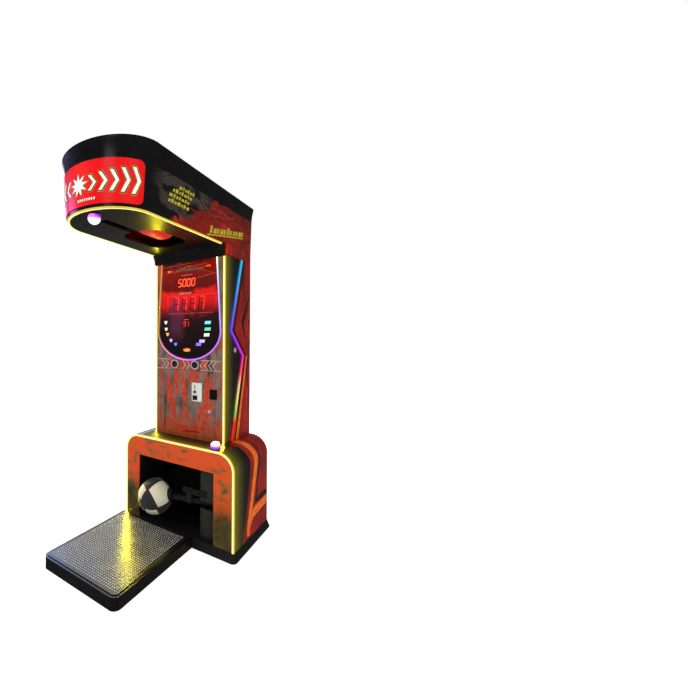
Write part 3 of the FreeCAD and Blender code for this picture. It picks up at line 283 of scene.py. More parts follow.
def front_print():
    """Printed vinyl round the kick bay: orange-red with worn grey patches, olive towards the floor."""
    made, tree, where, place = begin("printed_orange_vinyl")
    patch = grain(tree, where, 120, (1.0, 1.0, 1.5), 5.0, 0.6, 0.5)
    hot = add(tree, "ValToRGB", {0: patch}, stops=(
        (0.30, "#54441C"), (0.38, "#8E5420"), (0.44, "#C04A12"), (0.52, "#CC440C"), (0.56, "#BC440E"),
        (0.60, "#7E5428"), (0.70, "#5E503A")))
    cold = add(tree, "ValToRGB", {0: grain(tree, where, 70)}, stops=((0.35, "#3A3016"), (0.6, "#54481E"),
                                                                    (0.8, "#5E4E30")))
    stray = add(tree, "MapRange", {0: patch, 1: 0.2, 2: 0.8, 3: -0.07, 4: 0.07}, **SOFT)
    drift = add(tree, "Math", {0: place["Z"], 1: stray}, operation="ADD")
    rise = add(tree, "MapRange", {0: drift, 1: 0.19, 2: 0.33}, **SOFT)
    return film(made, where, add(tree, "Mix", {0: rise, 6: cold, 7: hot}, **COLOUR))


def column_print():
    """Printed vinyl on the lower column: grey-brown haze with dark smears and red streaks, rust-red low down.
    The back of the sheet is bare powder coat."""
    made, tree, where, place = begin("printed_rust_grey_vinyl")
    haze = grain(tree, where, 70, (1.0, 1.0, 0.40), 6.0, twist=0.7)
    smear = grain(tree, where, 24, (1.0, 1.0, 0.10))
    streak = grain(tree, where, 46, (1.0, 1.0, 0.16), 5.0, twist=0.5)
    tone = add(tree, "ValToRGB", {0: haze}, stops=(
        (0.30, "#38302A"), (0.42, "#584A42"), (0.52, "#70625A"), (0.62, "#863E28"), (0.72, "#9A3418")))
    low = add(tree, "ValToRGB", {0: streak}, stops=((0.35, "#7A4426"), (0.50, "#A04418"), (0.62, "#B04A1C")))
    stray = add(tree, "MapRange", {0: haze, 1: 0.2, 2: 0.8, 3: -0.05, 4: 0.05}, **SOFT)
    drift = add(tree, "Math", {0: place["Z"], 1: stray}, operation="ADD")
    behind = add(tree, "Math", {0: place["Y"], 1: DOOR_Y + 0.002}, operation="GREATER_THAN")
    red = add(tree, "MapRange", {0: streak, 1: 0.53, 2: 0.62, 4: 0.8}, **SOFT)
    dark = add(tree, "MapRange", {0: smear, 1: 0.53, 2: 0.72, 4: 0.7}, **SOFT)
    rust = add(tree, "MapRange", {0: drift, 1: 0.60, 2: 0.71, 3: 0.85, 4: 0.0}, **SOFT)
    for share, ink in ((red, "#A2381C"), (dark, "#2C221E"), (rust, low), (behind, "#1A1B1C")):
        tone = add(tree, "Mix", {0: share, 6: tone, 7: ink}, **COLOUR)
    return film(made, where, tone)


def head_print():
    """Printed vinyl on the head: black in front with torn grey clouds, licks of dark red flame towards the
    rear. The rear face is bare black."""
    made, tree, where, place = begin("printed_flame_vinyl")
    lick = grain(tree, where, 150, (1.0, 0.55, 1.7), 6.0, 0.6, 1.2)
    flame = add(tree, "ValToRGB", {0: lick}, stops=((0.30, "#2A0805"), (0.45, "#6A1006"), (0.60, "#8E1A08"),
                                                    (0.74, "#B23410")))
    lean = add(tree, "Math", {0: place["Z"], 1: -1.72, 2: place["Y"]}, operation="MULTIPLY_ADD")
    stray = add(tree, "MapRange", {0: lick, 1: 0.3, 2: 0.7, 3: -0.10, 4: 0.10}, **SOFT)
    edge = add(tree, "Math", {0: lean, 1: stray}, operation="ADD")
    reach = add(tree, "MapRange", {0: edge, 1: -3.06, 2: -3.00}, **SOFT)
    cloud = grain(tree, where, 110, (1.0, 0.8, 1.3), 6.0, 0.6, 0.9)
    torn = add(tree, "MapRange", {0: cloud, 1: 0.47, 2: 0.53}, **SOFT)
    for low, high, to_low, to_high in ((-0.40, -0.28, 0.0, 1.0), (-0.02, 0.16, 1.0, 0.0)):
        near = add(tree, "MapRange", {0: place["Y"], 1: low, 2: high, 3: to_low, 4: to_high}, **SOFT)
        torn = add(tree, "Math", {0: torn, 1: near}, operation="MULTIPLY")
    rear = add(tree, "Math", {0: place["Y"], 1: HEAD_BACK - 0.002}, operation="GREATER_THAN")
    tone = "#0A0A0A"
    for share, ink in ((torn, "#35302B"), (reach, flame), (rear, "#0A0A0A")):
        tone = add(tree, "Mix", {0: share, 6: tone, 7: ink}, **COLOUR)
    return film(made, where, tone)


def display_print():
    """Acrylic score panel, printed on its back: dark red crown, bright red band, black below with a violet
    haze."""
    made, tree, where, place = begin("back_printed_acrylic_panel")
    cloud = grain(tree, where, 90, (1.0, 1.0, 1.4), 6.0, twist=0.9)
    stray = add(tree, "MapRange", {0: cloud, 1: 0.25, 2: 0.75, 3: -0.022, 4: 0.022}, **SOFT)
    height = add(tree, "Math", {0: place["Z"], 1: stray}, operation="ADD")
    level = add(tree, "MapRange", {0: height, 1: 1.010, 2: 1.590})
    tone = add(tree, "ValToRGB", {0: level}, stops=(
        (0.0, "#060304"), (0.28, "#100506"), (0.43, "#1E0708"), (0.50, "#5E0A0C"), (0.58, "#A20E10"),
        (0.67, "#B8120F"), (0.72, "#4A0807"), (0.80, "#540A07"), (0.93, "#6E0D08"), (1.0, "#2A0504")))
    across = add(tree, "Math", {0: place["X"], 1: 0.085}, operation="ADD")
    across = add(tree, "Math", {0: across}, operation="ABSOLUTE")
    haze = 0.42
    for value, low, high, to_low, to_high in ((across, 0.02, 0.075, 1.0, 0.0),
                                              (place["Z"], 1.08, 1.22, 0.0, 1.0),
                                              (place["Z"], 1.33, 1.42, 1.0, 0.0)):
        near = add(tree, "MapRange", {0: value, 1: low, 2: high, 3: to_low, 4: to_high}, **SOFT)
        haze = add(tree, "Math", {0: haze, 1: near}, operation="MULTIPLY")
    behind = add(tree, "Math", {0: place["Y"], 1: COLUMN_Y + 0.001}, operation="GREATER_THAN")
    for share, ink in ((haze, "#5A2440"), (behind, "#050505")):
        tone = add(tree, "Mix", {0: share, 6: tone, 7: ink}, **COLOUR)
    return close(made, Base_Color=tone, Emission_Color=tone, Emission_Strength=0.55, Roughness=0.07,
                 Coat_Weight=1.0, Coat_Roughness=0.02)


def lamp(name, hue, other, strength, size_mm=8, base=None, roughness=0.35, coat=0.0):
    """Lit or backlit plastic that shows its own light, and the room's by the base colour or by the same hue."""
    made, tree, where, _ = begin(name)
    tone = add(tree, "ValToRGB", {0: grain(tree, where, size_mm)}, stops=((0.3, hue), (0.7, other)))
    return close(made, Base_Color=base or tone, Emission_Color=tone, Emission_Strength=strength,
                 Roughness=roughness, Coat_Weight=coat, Coat_Roughness=0.16)


def zigzag_tube(name, strength):
    """The side tubes' run of colours up their height."""
    made, tree, _, place = begin(name)
    level = add(tree, "MapRange", {0: place["Z"], 1: 0.548, 2: 1.598})
    tone = add(tree, "ValToRGB", {0: level}, stops=ZIGZAG_HUES)
    return close(made, Base_Color="#272727", Emission_Color=tone, Emission_Strength=strength, Roughness=0.4)


def display_tube(name, strength):
    """Colour-changing tube round the score panel: amber on the left, pale blue to violet on the right."""
    made, tree, _, place = begin(name)
    level = add(tree, "MapRange", {0: place["Z"], 1: 1.007, 2: 1.590})
    left = add(tree, "ValToRGB", {0: level}, stops=((0.0, "#B858D8"), (0.10, "#B86898"), (0.22, "#A06A48"),
                                                    (0.35, "#8A6426"), (1.0, "#946A20")))
    right = add(tree, "ValToRGB", {0: level}, stops=((0.0, "#A050E0"), (0.15, "#8858E8"), (0.35, "#8070D8"),
                                                     (0.65, "#9088D8"), (0.9, "#A8C0E0"), (1.0, "#D8E8C0")))
    share = add(tree, "MapRange", {0: place["X"], 1: -0.06, 2: 0.06}, **SOFT)
    tone = add(tree, "Mix", {0: share, 6: left, 7: right}, **COLOUR)
    return close(made, Base_Color=tone, Emission_Color=tone, Emission_Strength=strength, Roughness=0.4)


def dome_lens():
    """Frosted polycarbonate dome over colour LEDs: white crown, violet and blue where it meets its ring."""
    made, tree, _, place = begin("frosted_polycarbonate_dome")
    top = add(tree, "MapRange", {0: place["Z"], 1: 0.548, 2: 0.592})
    hung = add(tree, "MapRange", {0: place["Z"], 1: 1.648, 2: 1.604})
    high = add(tree, "Math", {0: place["Z"], 1: 1.1}, operation="GREATER_THAN")
    tone = add(tree, "ValToRGB", {0: add(tree, "Mix", {0: high, 2: top, 3: hung})}, stops=(
        (0.0, "#3C3ACC"), (0.26, "#7A20C8"), (0.44, "#C03CC8"), (0.58, "#E0C8F4"), (0.80, "#F4F0FF")))
    return close(made, Base_Color=tone, Emission_Color=tone, Emission_Strength=1.05, Roughness=0.25,
                 Coat_Weight=0.5)


def leatherette(name, dark, light, pebble_mm):
    """PVC-coated cloth: pebbled grain, soft sheen, and painted shade that darkens the creases of the grain."""
    made, tree, where, _ = begin(name)
    cells = add(tree, "TexVoronoi", {"Vector": where, "Scale": 1000 / pebble_mm}, "Distance")
    broad = grain(tree, where, 45)
    crease_shade = add(tree, "MapRange", {0: cells, 1: 0.35, 2: 0.7, 4: 0.35}, **SOFT)
    tone = add(tree, "Mix", {0: broad, 6: dark, 7: light}, **COLOUR)
    # Painted shade: the grain's creases are darkened towards near black.
    tone = add(tree, "Mix", {0: crease_shade, 6: tone, 7: "#120606"}, **COLOUR)
    rough = add(tree, "MapRange", {0: broad, 1: 0.3, 2: 0.7, 3: 0.34, 4: 0.50}, **SOFT)
    return close(made, (cells, 0.12), Base_Color=tone, Roughness=rough, Sheen_Weight=0.08,
                 Specular_IOR_Level=0.25)


KIT = make_materials()


# ---------------------------------------------------------------- mesh helpers
def put(name, data):
    """A new object in the scene."""
    made = bpy.data.objects.new(name, data)
    bpy.context.scene.collection.objects.link(made)
    return made


def keep(name, mesh, finishes, body="root", smooth=True):
    """Makes an object of a bmesh or mesh, and lets it ride on a body if one is given."""
    data = mesh
    if isinstance(mesh, bmesh.types.BMesh):
        data = bpy.data.meshes.new(name)
        mesh.to_mesh(data)
        mesh.free()
    for polygon in data.polygons:
        polygon.use_smooth = smooth
    if smooth:
        data.set_sharp_from_angle(angle=math.radians(42))
    for finish in finishes if isinstance(finishes, list) else [finishes]:
        data.materials.append(finish)
    made = put(name, data)
    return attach(made, body) if body else made


def sticker(name, outlines, place, finish, body="root", step=0.0, thick=0.0005):
    """Thin printed shapes: outlines are drawn flat as (u, v), and place puts a (u, v) point on the surface."""
    bm = bmesh.new()
    for outline in outlines:
        bm.faces.new([bm.verts.new((u, v, 0)) for u, v in outline])
    bmesh.ops.triangulate(bm, faces=bm.faces[:])
    if step:
        for axis in (0, 1):
            values = [v.co[axis] for v in bm.verts]
            line = math.ceil(min(values) / step) * step
            while line < max(values):
                point, normal = [0, 0, 0], [0, 0, 0]
                point[axis], normal[axis] = line, 1
                bmesh.ops.bisect_plane(bm, geom=bm.verts[:] + bm.edges[:] + bm.faces[:], dist=1e-6,
                                       plane_co=point, plane_no=normal)
                line += step
    lows = {v: place(v.co.x, v.co.y) for v in bm.verts}
    for vertex, (point, normal) in lows.items():
        vertex.co = point
    outward = sum((normal for _, normal in lows.values()), Vector())
    made = bmesh.ops.extrude_face_region(bm, geom=bm.faces[:], use_keep_orig=True)["geom"]
    tops = [g for g in made if isinstance(g, bmesh.types.BMVert)]
    table = {tuple(round(c, 7) for c in point): normal for point, normal in lows.values()}
    for vertex in tops:
        normal = table.get(tuple(round(c, 7) for c in vertex.co), outward.normalized())
        vertex.co += normal * thick
    bmesh.ops.recalc_face_normals(bm, faces=bm.faces[:])
    return keep(name, bm, finish, body, smooth=False)


def on_front(y):
    """Places (x, z) on an upright face that looks towards the player."""
    return lambda u, v: (Vector((u, y, v)), Vector((0, -1, 0)))


def on_side(x):
    """Places (y, z) on an upright side face."""
    turn = Vector((math.copysign(1, x), 0, 0))
    return lambda u, v: (Vector((x, u, v)), turn)


def on_base(sign):
    """Places (y, z) on the base's side, and over its rounded shoulder."""
    def place(u, v):
        if v <= SPRING:
            return Vector((sign * BASE_HALF, u, v)), Vector((sign, 0, 0))
        middle = BASE_HALF - ARCH_RADIUS
        beyond = v - SPRING - ARCH_RADIUS * math.pi / 2
        if beyond > 0:
            return Vector((sign * (middle - beyond), u, BASE_TOP)), Vector((0, 0, 1))
        turn = (v - SPRING) / ARCH_RADIUS
        normal = Vector((sign * math.cos(turn), 0, math.sin(turn)))
        return Vector((sign * middle, u, SPRING)) + normal * ARCH_RADIUS, normal
    return place


def head_sizes(z):
    """Half width at the rear, half width at the nose and the nose's length, at a height."""
    if z <= SHOULDER:
        t = (z - HEAD_LOW) / (SHOULDER - HEAD_LOW)
        return [p + (q - p) * t for p, q in zip(HEAD_AT_LOW, HEAD_AT_SHOULDER)]
    t = ((z - SHOULDER) / (HEAD_TOP - SHOULDER)) ** 1.6
    return [p + (q - p) * t for p, q in zip(HEAD_AT_SHOULDER, HEAD_AT_TOP)]


def on_head_side(sign):
    """Places (y, z) on the head's flat side."""
    def place(u, v):
        rear, half, _ = head_sizes(v)
        slope = (rear - half) / (HEAD_BACK - NOSE_Y)
        x = half + (rear - half) * (u - NOSE_Y) / (HEAD_BACK - NOSE_Y)
        return Vector((sign * x, u, v)), Vector((sign, -slope, 0)).normalized()
    return place


def on_nose(proud):
    """Places (angle in degrees from the middle, z) on the round nose, a little in front of it."""
    def place(u, v):
        _, half, reach = head_sizes(v)
        turn = math.radians(u)
        normal = Vector((math.sin(turn) / half, -math.cos(turn) / reach, 0)).normalized()
        return Vector((half * math.sin(turn), NOSE_Y - reach * math.cos(turn), v)) + normal * proud, normal
    return place


def bridge(bm, rings):
    """Walls between closed rings, each of as many corners or a single point; gives the faces in order."""
    faces = []
    for low, high in zip(rings, rings[1:]):
        count = max(len(low), len(high))
        for i in range(count):
            j = (i + 1) % count
            corners = [low[i % len(low)], low[j % len(low)], high[j % len(high)], high[i % len(high)]]
            corners = list(dict.fromkeys(corners))
            if len(corners) > 2:
                faces.append(bm.faces.new(corners))
    return faces


def lathe(rings, sides, along, middle, side_axis):
    """Turns (distance along, radius) rings round an axis into a closed bmesh."""
    bm = bmesh.new()
    along, side_axis = Vector(along).normalized(), Vector(side_axis).normalized()
    third = along.cross(side_axis)
    turns = [2 * math.pi * i / sides for i in range(sides)]
    around = [side_axis * math.cos(a) + third * math.sin(a) for a in turns]
    loops = []
    for distance, radius in rings:
        centre = Vector(middle) + along * distance
        spokes = around if radius > 1e-6 else [Vector()]
        loops.append([bm.verts.new(centre + out * radius) for out in spokes])
    bridge(bm, loops)
    for loop in (loops[0], loops[-1]):
        if len(loop) > 2:
            bm.faces.new(loop)
    bmesh.ops.recalc_face_normals(bm, faces=bm.faces[:])
    return bm


def merged(parts):
    """Joins bmeshes into one."""
    whole = bmesh.new()
    for part in parts:
        data = bpy.data.meshes.new("part")
        part.to_mesh(data)
        part.free()
        whole.from_mesh(data)
        bpy.data.meshes.remove(data)
    return whole


def ribbon(points, widths):
    """Outline of a bent band with a width at each point."""
    line = [Vector(p).to_2d() for p in points]
    sides = ([], [])
    for i, point in enumerate(line):
        before = line[max(i - 1, 0)]
        after = line[min(i + 1, len(line) - 1)]
        if 0 < i < len(line) - 1:
            a, b = (point - before).normalized(), (after - point).normalized()
            tangent = (a + b).normalized()
            stretch = 1 / max(0.5, tangent.dot(a))
        else:
            tangent, stretch = (after - before).normalized(), 1.0
        across = Vector((-tangent.y, tangent.x)) * widths[i] / 2 * stretch
        sides[0].append(tuple(point + across))
        sides[1].append(tuple(point - across))
    return sides[0] + sides[1][::-1]


def curved(points, count):
    """Points along a smooth line through the given ones."""
    line = [Vector(p) for p in points]
    line = [line[0] * 2 - line[1]] + line + [line[-1] * 2 - line[-2]]
    out = []
    spans = len(line) - 3
    for i in range(count):
        at = i / (count - 1) * spans
        k = min(int(at), spans - 1)
        t = at - k
        a, b, c, d = line[k:k + 4]
        out.append(tuple(0.5 * ((2 * b) + (c - a) * t + (2 * a - 5 * b + 4 * c - d) * t * t
                                + (3 * b - a - 3 * c + d) * t ** 3)))
    return out


def screws(name, spots, normal, radius, finish, body="root"):
    """Button-head screws, each a turned dome with its round recess."""
    normal = Vector(normal)
    across = Vector((0, 0, 1)) if abs(normal.z) < 0.5 else Vector((1, 0, 0))
    tall = radius * 0.55
    rings = [(-0.001, radius), (0.0, radius)] + [(tall * h, radius * r) for h, r in (
        (0.45, 0.93), (0.8, 0.72), (1, 0.5), (1, 0.42), (0.35, 0.40), (0.30, 0))]
    return keep(name, merged([lathe(rings, 18, normal, spot, across) for spot in spots]), finish, body)


# ---------------------------------------------------------------- CAD nodes
# The column carcass and the base top take black finishes with the warm tubes' olive glow painted into their
# colour.
for look, names in (
        ("gelcoat_satin", "head_underside"), ("gelcoat", "head_wedge lock_guard"), ("head_art", "head_wall"),
        ("column_black_painted_glow", "column_carcass"), ("arch_black_painted_glow", "base_top_arch"),
        ("board", "rear_door platform_frame base_floor base_rear_panel"),
        ("abs", "plinth_skirt power_inlet button_left button_right coin_reject_button coin_return_flap"),
        ("enamel_grey", "pivot_cover"),
        ("powder", "bay_liner kicker_bracket stop_bar steel_frame bag_bracket cash_box"),
        ("enamel_dark", "kicker_arm bag_arm"), ("zinc", "platform_bolts holding_magnet rear_hinges"),
        ("steel", "kicker_shaft bag_shaft"), ("chrome", "button_bezels service_lock rear_lock"),
        ("rubber", "feet stop_buffer power_switch"), ("enamel_pale", "coin_plate"),
        ("galvanised", "power_supply"), ("tread", "platform_plate"),
        ("side_art", "base_side_left base_side_right side_panel_left side_panel_right"),
        ("front_art", "base_front_panel"), ("column_art", "column_front service_door service_hinge"),
        ("display", "display_glass"), ("marquee", "marquee_panel"), ("unlit", "digit_modules")):
    for name in names.split():
        NODES[name].data.materials.clear()
        NODES[name].data.materials.append(KIT[look])


# ---------------------------------------------------------------- head
def head_ring(bm, z, inset=0.0):
    """Level ring of the head's outline: round the nose, back along one side, across, and forward again."""
    rear, half, reach = (s - inset for s in head_sizes(z))
    back = HEAD_BACK - inset
    turns = [math.radians(-90 + 180 * i / 64) for i in range(65)]
    side = [(half + (rear - half) * i / 12, NOSE_Y + (back - NOSE_Y) * i / 12) for i in range(1, 13)]
    points = [(half * math.sin(a), NOSE_Y - reach * math.cos(a)) for a in turns] + side
    points += [(rear - 2 * rear * i / 8, back) for i in range(1, 9)]
    points += [(-x, y) for x, y in side[-2::-1]]
    return [bm.verts.new((x, y, z)) for x, y in points]


def make_head_cap():
    """Smooth flared top moulding with a softened upper rim, hollow inside."""
    rim, skin, below, steps = 0.010, 0.012, 1e-5, 12
    bm = bmesh.new()
    rings = [head_ring(bm, SHOULDER + (HEAD_TOP - rim - SHOULDER) * i / steps) for i in range(steps + 1)]
    for a in (math.radians(15 * i) for i in range(1, 7)):
        rings.append(head_ring(bm, HEAD_TOP - rim + rim * math.sin(a) - below, rim * (1 - math.cos(a))))
    rings.append(head_ring(bm, HEAD_TOP - below, 0.06))
    inner = [head_ring(bm, SHOULDER, skin), head_ring(bm, HEAD_TOP - skin, 2 * skin)]
    bridge(bm, rings)
    bridge(bm, rings[:1] + inner)
    bm.faces.new(rings[-1])
    bm.faces.new(inner[1][::-1])
    bmesh.ops.recalc_face_normals(bm, faces=bm.faces[:])
    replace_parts(keep("head_cap_moulding", bm, KIT["gelcoat"]), "head_cap")


def make_dome(name, spot, up):
    """Signal dome: a moulded ring and a frosted round lens. Gives the lens."""
    radius = 0.027
    turns = [math.radians(a) for a in range(0, 91, 9)]
    lens = [(0.004, 0.0245)] + [(0.016 + radius * math.sin(a), radius * math.cos(a)) for a in turns]
    ring = [(-0.0005, 0.0278), (0.002, 0.0280), (0.0045, 0.0272), (0.0055, 0.0255), (0.0055, 0.020)]
    axis, across = (0, 0, up), (1, 0, 0)
    piece = keep(name + "_lens", lathe(lens, 40, axis, spot, across), KIT["dome"])
    keep(name + "_ring", lathe(ring, 40, axis, spot, across), KIT["abs"])
    return piece


def slanted(left, right, low, high, lean):
    """A leaning bar."""
    return [(left, low), (right, low), (right + lean, high), (left + lean, high)]


def star(v, outer, inner, points):
    """A star burst round (0, v), in metres."""
    turns = [(outer if i % 2 == 0 else inner, math.pi * i / points) for i in range(points * 2)]
    return [(radius * math.sin(a), v + radius * math.cos(a)) for radius, a in turns]


def make_marquee_graphics():
    """Generic sign: a star burst, and chevrons that run outwards from it and grow. Each is printed three
    times, wider below, so that it gets a yellow and a black edge. Widths are in degrees round the nose."""
    middle, degrees_per_metre, tip = 1.752, 57.3 / 0.210, 6.2
    for name, by_u, by_v, ink, proud in (("marquee_yellow_edge", 1.15, 0.0056, "yellow_ink", 0.0042),
                                         ("marquee_black_edge", 0.75, 0.0036, "black_ink", 0.0048),
                                         ("marquee_cream_shapes", 0.0, 0.0, "cream_ink", 0.0054)):
        burst = star(middle, 0.046 + by_v, 0.021 + by_v, 9)
        shapes = [[(degrees_per_metre * u, v) for u, v in burst]]
        for i in range(5):
            at, thick, half = 13.0 + 11.8 * i - by_u, 3.3 + 0.25 * i + 2 * by_u, 0.030 + 0.0055 * i + by_v
            mid = middle + 0.0015 * i
            for sign in (-1, 1):
                for end in (mid - half, mid + half):
                    arm = [(at, end), (at + thick, end), (at + thick + tip, mid), (at + tip, mid)]
                    shapes.append([(sign * u, v) for u, v in arm])
        sticker(name, shapes, on_nose(proud), KIT[ink], step=3.0, thick=0.0006)
    bars = [slanted(-2 + 3 * i, -0.4 + 3 * i, 1.686, 1.695, 0.5) for i in range(8)]
    sticker("marquee_small_bars", bars, on_nose(0.0042), KIT["cream_ink"], step=3.0)


def make_head_side(sign, side):
    """Yellow printed bars on the head's side, and flame lines that trail from them."""
    def printed(name, shapes, ink, step=0.03, thick=0.0005):
        sticker(f"head_{name}_{side}", shapes, on_head_side(sign), KIT[ink], step=step, thick=thick)

    rows = []
    for z, y, lengths in ((1.808, -0.190, (20, 9, 12, 16, 10, 14)),
                          (1.784, -0.234, (12, 18, 9, 14, 22, 10, 16)),
                          (1.759, -0.258, (22, 12, 16, 9, 20, 12, 14)),
                          (1.733, -0.262, (10, 18, 14, 22, 10, 16, 20))):
        for i, length in enumerate(lengths):
            rows.append(slanted(y, y + length * MM, z, z + (0.017 if i % 2 else 0.013), 0.005))
            y += length * MM + 0.007
    printed("bars", rows, "yellow_ink")
    rear = []
    for i in range(11):
        y, wide, top = 0.082 + 0.0335 * i, 0.028 if i % 2 else 0.020, 1.728 if i in (0, 5) else 1.716
        rear.append(slanted(y, y + wide, 1.690, top, 0.007))
    rear.append([(0.060, 1.678), (0.440, 1.678), (0.445, 1.685), (0.062, 1.685)])
    printed("rear_bars", [[(y, z + (y - 0.24) * 0.16 + 0.012) for y, z in line] for line in rear], "yellow_ink")
    tongues = []
    for y, z, length, rise, wide in ((-0.150, 1.672, 0.15, 0.010, 0.016), (-0.110, 1.700, 0.17, 0.016, 0.018),
                                     (-0.075, 1.730, 0.16, 0.006, 0.015), (-0.040, 1.764, 0.17, 0.012, 0.017),
                                     (0.005, 1.792, 0.18, 0.010, 0.016), (0.060, 1.820, 0.20, 0.008, 0.014),
                                     (0.130, 1.836, 0.22, 0.004, 0.012)):
        line = curved([(y, z + rise), (y + length * 0.3, z - rise * 0.6), (y + length * 0.65, z + rise * 0.5),
                       (y + length, z - rise)], 20)
        swell = [math.sin(math.pi * min(1, i / 19 * 0.9 + 0.02)) ** 0.8 for i in range(20)]
        tongues.append(ribbon(line, [wide * (0.03 + 0.97 * s) for s in swell]))
    printed("flames", tongues, "flame_ink", 0.04, 0.0004)
    wisps = []
    for y, z, length, rise in ((-0.020, 1.812, 0.15, 0.010), (0.060, 1.776, 0.16, -0.008),
                               (0.150, 1.806, 0.16, 0.006), (-0.080, 1.790, 0.12, 0.012)):
        line = curved([(y, z), (y + length * 0.35, z + rise), (y + length * 0.7, z - rise),
                       (y + length, z + rise * 0.4)], 16)
        wisps.append(ribbon(line, [0.0005 + 0.0022 * math.sin(math.pi * i / 15) for i in range(16)]))
    printed("wisps", wisps, "smoke_ink", 0.04, 0.0006)


make_head_cap()
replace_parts(make_dome("head_dome", (0.032, -0.505, 1.648), -1), "dome_lights")
make_dome("base_dome", (0.246, 0.141, 0.548), 1)
make_marquee_graphics()
for hand in SIDES:
    make_head_side(*hand)


# ---------------------------------------------------------------- LED tubes
def led_piece(name, node, lines, look, wide, deep, kinds):
    """Domed silicone tubes along lines of points: a bright core between dimmer flanks, all looking one way.
    Each line runs along the outer face of the tube, in the middle of its width."""
    look = Vector(look)
    half = wide / 2
    section = [(-half, -deep), (-half, -0.0016), (-half * 0.86, -0.0006), (-half * 0.64, 0.0)]
    section += [(-u, v) for u, v in section[::-1]]
    bm = bmesh.new()
    for line in lines:
        line = [Vector(p) for p in line]
        loops = []
        for i, point in enumerate(line):
            before = (point - line[i - 1]).normalized() if i else (line[1] - point).normalized()
            after = (line[i + 1] - point).normalized() if i < len(line) - 1 else before
            tangent = (before + after).normalized()
            across = tangent.cross(look).normalized() / max(0.5, tangent.dot(before))
            loops.append([bm.verts.new(point + across * u + look * v) for u, v in section])
        walls = bridge(bm, loops)
        for face in walls + [bm.faces.new(loops[0]), bm.faces.new(loops[-1][::-1])]:
            face.material_index = 1
        for face in walls[3::len(section)]:
            face.material_index = 0
    bmesh.ops.recalc_face_normals(bm, faces=bm.faces[:])
    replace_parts(keep(name, bm, [KIT[kinds + "_core"], KIT[kinds + "_flank"]]), node)


def make_leds():
    """Every light tube of the machine."""
    half, front, down = 0.006, (0, -1, 0), (0, 0, -1)
    radius, middle = ARCH_RADIUS - half, BASE_HALF - ARCH_RADIUS
    left = [(-(BASE_HALF - half), 0.0505)]
    for a in (math.radians(90 * i / 12) for i in range(13)):
        left.append((-(middle + radius * math.cos(a)), SPRING + radius * math.sin(a)))
    arch = [(x, BASE_Y, z) for x, z in left] + [(-x, BASE_Y, z) for x, z in left[::-1]]
    led_piece("base_light_tube", "led_base", [arch], front, 0.0118, 0.0096, "warm")
    low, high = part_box("led_columns")
    uprights = [[(x, COLUMN_Y, low.z + 0.0003), (x, COLUMN_Y, high.z - 0.0003)]
                for x in (half - high.x, high.x - half)]
    led_piece("column_light_tubes", "led_columns", uprights, front, 0.0118, 0.0096, "warm")
    rear, wide, reach = (v - half for v in HEAD_AT_LOW)
    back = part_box("led_head")[1].y - 0.0005
    side_at = wide + (rear - wide) * (back - NOSE_Y) / (HEAD_BACK - NOSE_Y)
    turns = [math.radians(-90 + 4.5 * i) for i in range(41)]
    nose = [(wide * math.sin(a), NOSE_Y - reach * math.cos(a)) for a in turns]
    rim = [(x, y, HEAD_LOW) for x, y in [(-side_at, back)] + nose + [(side_at, back)]]
    led_piece("head_light_tube", "led_head", [rim], down, 0.0096, 0.0078, "warm")
    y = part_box("led_display")[0].y
    top, bend, bottom, grow = 1.5898, 1.176, 1.011, 0.004
    bowl = [((0.2155 + grow) * math.sin(a), y, bend - (bend - bottom + grow) * math.cos(a)) for a in turns]
    shield = [(-0.190 - grow, y, top)] + bowl + [(0.190 + grow, y, top)]
    led_piece("display_light_tube", "led_display", [shield], front, 0.0078, 0.0048, "display")
    bent = [(0.340, 1.5975), (0.203, 1.180), (0.362, 1.031), (0.222, 0.5485)]
    for sign, side in SIDES:
        line = [(sign * 0.2522, PANEL_Y + y - 0.0048, z) for y, z in bent]
        led_piece("side_light_tube_" + side, "led_sides", [line], (sign, 0, 0), 0.0086, 0.0086, "zigzag")


make_leds()


